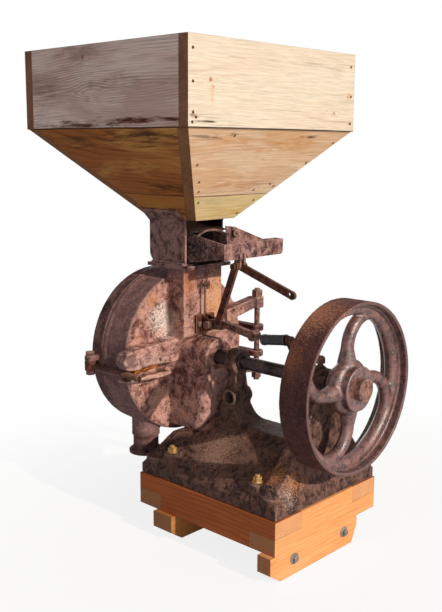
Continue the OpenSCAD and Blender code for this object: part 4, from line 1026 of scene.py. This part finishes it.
@dataclass
class StrapEye:
    """Curled eye at the end of the arched strap over the feed pan."""

    bench: Bench
    wire: float = 0.0019
    turns: float = 1.6
    outer: float = 0.0085
    core: float = 2.3
    steps: int = 48
    gap: float = 0.0045
    side: float = 0.009
    height: float = 0.6719

    def build(self) -> None:
        """Curls a rod in front of the gate."""
        bm = bmesh.new()
        ring = bmesh.ops.create_circle(bm, segments=10, radius=self.wire)["verts"]
        rims = list({edge for vert in ring for edge in vert.link_edges})
        start = Matrix.Translation((self.outer, 0, 0)) @ Matrix.Rotation(math.pi / 2, 4, "X")
        bmesh.ops.transform(bm, matrix=start, verts=ring)
        bmesh.ops.contextual_create(bm, geom=rims)
        step = math.tau * self.turns / self.steps
        shrink = (self.wire * self.core / self.outer) ** (1 / self.steps)
        geom = rims + ring
        for _ in range(self.steps):
            edges = [g for g in geom if isinstance(g, bmesh.types.BMEdge)]
            geom = bmesh.ops.extrude_edge_only(bm, edges=edges)["geom"]
            verts = [g for g in geom if isinstance(g, bmesh.types.BMVert)]
            centre = sum((v.co for v in verts), Vector()) / len(verts)
            turn = Matrix.Rotation(step, 4, "Z")
            moved = turn @ (centre * shrink)
            shift = Matrix.Translation(moved) @ turn @ Matrix.Translation(-centre)
            bmesh.ops.transform(bm, matrix=shift, verts=verts)
        last = [g for g in geom if isinstance(g, bmesh.types.BMEdge) and g.is_boundary]
        bmesh.ops.contextual_create(bm, geom=last)
        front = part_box("gate_plate")[1].x + self.wire + self.gap
        place = (Matrix.Translation((front, self.side, self.height))
                 @ Matrix.Rotation(math.pi / 2, 4, "Y"))
        bmesh.ops.transform(bm, matrix=place, verts=bm.verts[:])
        self.bench.place(bm, "strap_eye", NUT_IRON, "pan", "wrought", 60.0)


@dataclass
class Nails:
    """Rusty nail heads along the edges of the hopper's front boards."""

    bench: Bench
    head: float = 0.0042
    crown: float = 0.55
    proud: float = 0.0007
    foot_x: float = -0.3165
    box_spots: tuple[tuple[float, float], ...] = (
        (-0.252, 1.040), (-0.252, 0.980), (-0.252, 0.924), (-0.244, 0.915), (-0.254, 0.906),
        (0.250, 1.038), (0.253, 0.973), (0.252, 0.913))
    funnel_spots: tuple[tuple[float, float], ...] = (
        (-0.119, 0.882), (0.127, 0.882), (-0.172, 0.824), (-0.134, 0.788), (-0.116, 0.767),
        (-0.094, 0.742), (0.226, 0.870), (0.180, 0.825), (0.104, 0.778), (0.122, 0.773),
        (0.086, 0.741), (0.060, 0.711))

    def head_at(self, bm: Shape, point: Vector, outward: Vector) -> None:
        """Sets one domed head on a board's face."""
        made = bmesh.ops.create_cone(bm, cap_ends=True, segments=12, radius1=self.head,
                                     radius2=self.head * self.crown, depth=self.proud * 2)
        bmesh.ops.transform(bm, matrix=axis_matrix(point, outward), verts=made["verts"])

    def build(self) -> None:
        """Nails the box's front board and the funnel's front side."""
        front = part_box("box_board_front")[1].x
        bm = bmesh.new()
        for y, z in self.box_spots:
            self.head_at(bm, Vector((front, y, z)), Vector((1, 0, 0)))
        self.bench.place(bm, "box_nails", BAR_IRON, "mill", "fasteners", 25.0)
        low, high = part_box("funnel_front")
        lean = (high.x - self.foot_x) / (high.z - low.z)
        outward = Vector((1, 0, -lean)).normalized()
        bm = bmesh.new()
        for y, z in self.funnel_spots:
            self.head_at(bm, Vector((self.foot_x + lean * (z - low.z), y, z)), outward)
        self.bench.place(bm, "funnel_nails", BAR_IRON, "mill", "fasteners", 25.0)


@dataclass
class Studio:
    """Camera at the photograph's angle, a pale floor and plain soft light."""

    eye: Point = (1.03669, -1.41872, 0.86222)
    azimuth: float = 43.24
    dip: float = 10.45
    roll: float = 0.31
    focal_pixels: float = 867.95
    picture_height: float = 612.0
    sensor: float = 36.0
    sky: str = "f4f6fb"
    sunlight: str = "fff4e4"
    floor_size: float = 14.0
    floor_drop: float = 0.0003
    floor_codes: tuple[str, str] = ("b4b4b4", "fafafa")
    floor_fade: tuple[float, float, float, float] = (0.45, 1.4, 0.84, 1.0)

    def camera(self) -> None:
        """Sets up the camera."""
        data = bpy.data.cameras.new("photo_camera")
        data.sensor_width = self.sensor
        data.lens = self.sensor * self.focal_pixels / self.picture_height
        data.clip_start = 0.05
        a, t, r = (math.radians(v) for v in (self.azimuth, self.dip, self.roll))
        ahead = Vector((-math.sin(a) * math.cos(t), math.cos(a) * math.cos(t), -math.sin(t)))
        right = Vector((math.cos(a), math.sin(a), 0))
        above = right.cross(ahead)
        rolled = math.cos(r) * right + math.sin(r) * above
        upright = math.cos(r) * above - math.sin(r) * right
        turn = Matrix((rolled, upright, -ahead)).transposed().to_4x4()
        camera = linked("photo_camera", data)
        camera.matrix_world = Matrix.Translation(Vector(self.eye)) @ turn
        bpy.context.scene.camera = camera

    def lamp(self, name: str, kind: str, eye: Vector, aim: Vector, **settings: object) -> None:
        """Sets a lamp up at one point, aimed at another."""
        data = bpy.data.lights.new(name, kind)
        for key, value in settings.items():
            setattr(data, key, value)
        turn = (aim - eye).to_track_quat("-Z", "Y").to_matrix().to_4x4()
        linked(name, data).matrix_world = Matrix.Translation(eye) @ turn

    def world(self, strength: float) -> None:
        """Lights the scene evenly, in front of a white background."""
        world = bpy.data.worlds.new("studio")
        world.use_nodes = True
        wiring = Wiring(world.node_tree)
        soft = world.node_tree.nodes["Background"]
        wiring.feed(soft.inputs["Color"], tint(self.sky))
        wiring.feed(soft.inputs["Strength"], strength)
        white = wiring.add("Background", {"Color": (1, 1, 1, 1)})
        wiring.close(wiring.seen(), soft.outputs[0], white.outputs[0], "World Output")
        bpy.context.scene.world = world

    def floor(self) -> None:
        """Lays the pale floor, which keeps the object's shadow."""
        bm = bmesh.new()
        bmesh.ops.create_grid(bm, x_segments=1, y_segments=1, size=self.floor_size)
        bmesh.ops.translate(bm, vec=(0, 0, -self.floor_drop), verts=bm.verts[:])
        floor = solid(bm, "floor")
        r = Recipe("pale_floor")
        seen = r.seen()
        paint = r.blend(seen, *(tint(code) for code in self.floor_codes))
        floor.data.materials.append(r.done(paint, 1.0, 0.0, None, 0.0))
        fade = r.levels(r.distance(ORIGIN, (1, 1, 1)), *self.floor_fade)
        glow = r.add("Emission")
        r.close(r.calc("MULTIPLY", seen, fade), r.shader.outputs[0], glow.outputs[0],
                "Material Output")

    def build(self) -> None:
        """Builds the whole studio."""
        self.camera()
        self.world(strength=0.25)
        self.lamp("sun", "SUN", 3 * Vector((0.895, 0.0, 0.445)), Vector(), energy=3.2, angle=0.02,
                  color=tint(self.sunlight)[:3])
        self.lamp("bounce", "AREA", Vector((1.6, -0.9, 0.1)), Vector((-0.2, 0.0, 0.7)),
                  energy=16.0, size=1.2)
        self.lamp("back", "AREA", Vector((-3.0, 2.4, 0.5)), Vector((-0.2, 0.0, 0.6)),
                  energy=26.0, size=2.0)
        self.floor()
        bpy.context.scene.view_settings.view_transform = "Standard"


def main() -> None:
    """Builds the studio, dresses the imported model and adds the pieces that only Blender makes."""
    logging.basicConfig(level=logging.INFO, format="%(message)s")
    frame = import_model()
    Studio().build()
    wardrobe = Wardrobe()
    wardrobe.dress_nodes(frame["nodes"])
    bench = Bench(wardrobe)
    fork = Flaking(low=(-0.408, -0.226, 0.338), high=(-0.370, -0.060, 0.432), scale=(30, 14, 150),
                   depth=0.0036)
    for extra in (CastSkin(bench, "pulley", "shaft", "cast_brown", 0.0023, 4),
                  CastSkin(bench, "bed_casting", "mill", "cast_brown", 0.0030, 4),
                  CastSkin(bench, "front_casing", "mill", "cast_pink", 0.0028, 3, flaking=fork),
                  CastSkin(bench, "rear_cover", "cover", "cast_brown", 0.0026, 3),
                  Threads(bench), Grip(bench), RustLumps(bench), StrapEye(bench), Nails(bench)):
        extra.build()


if __name__ == "__main__":
    main()
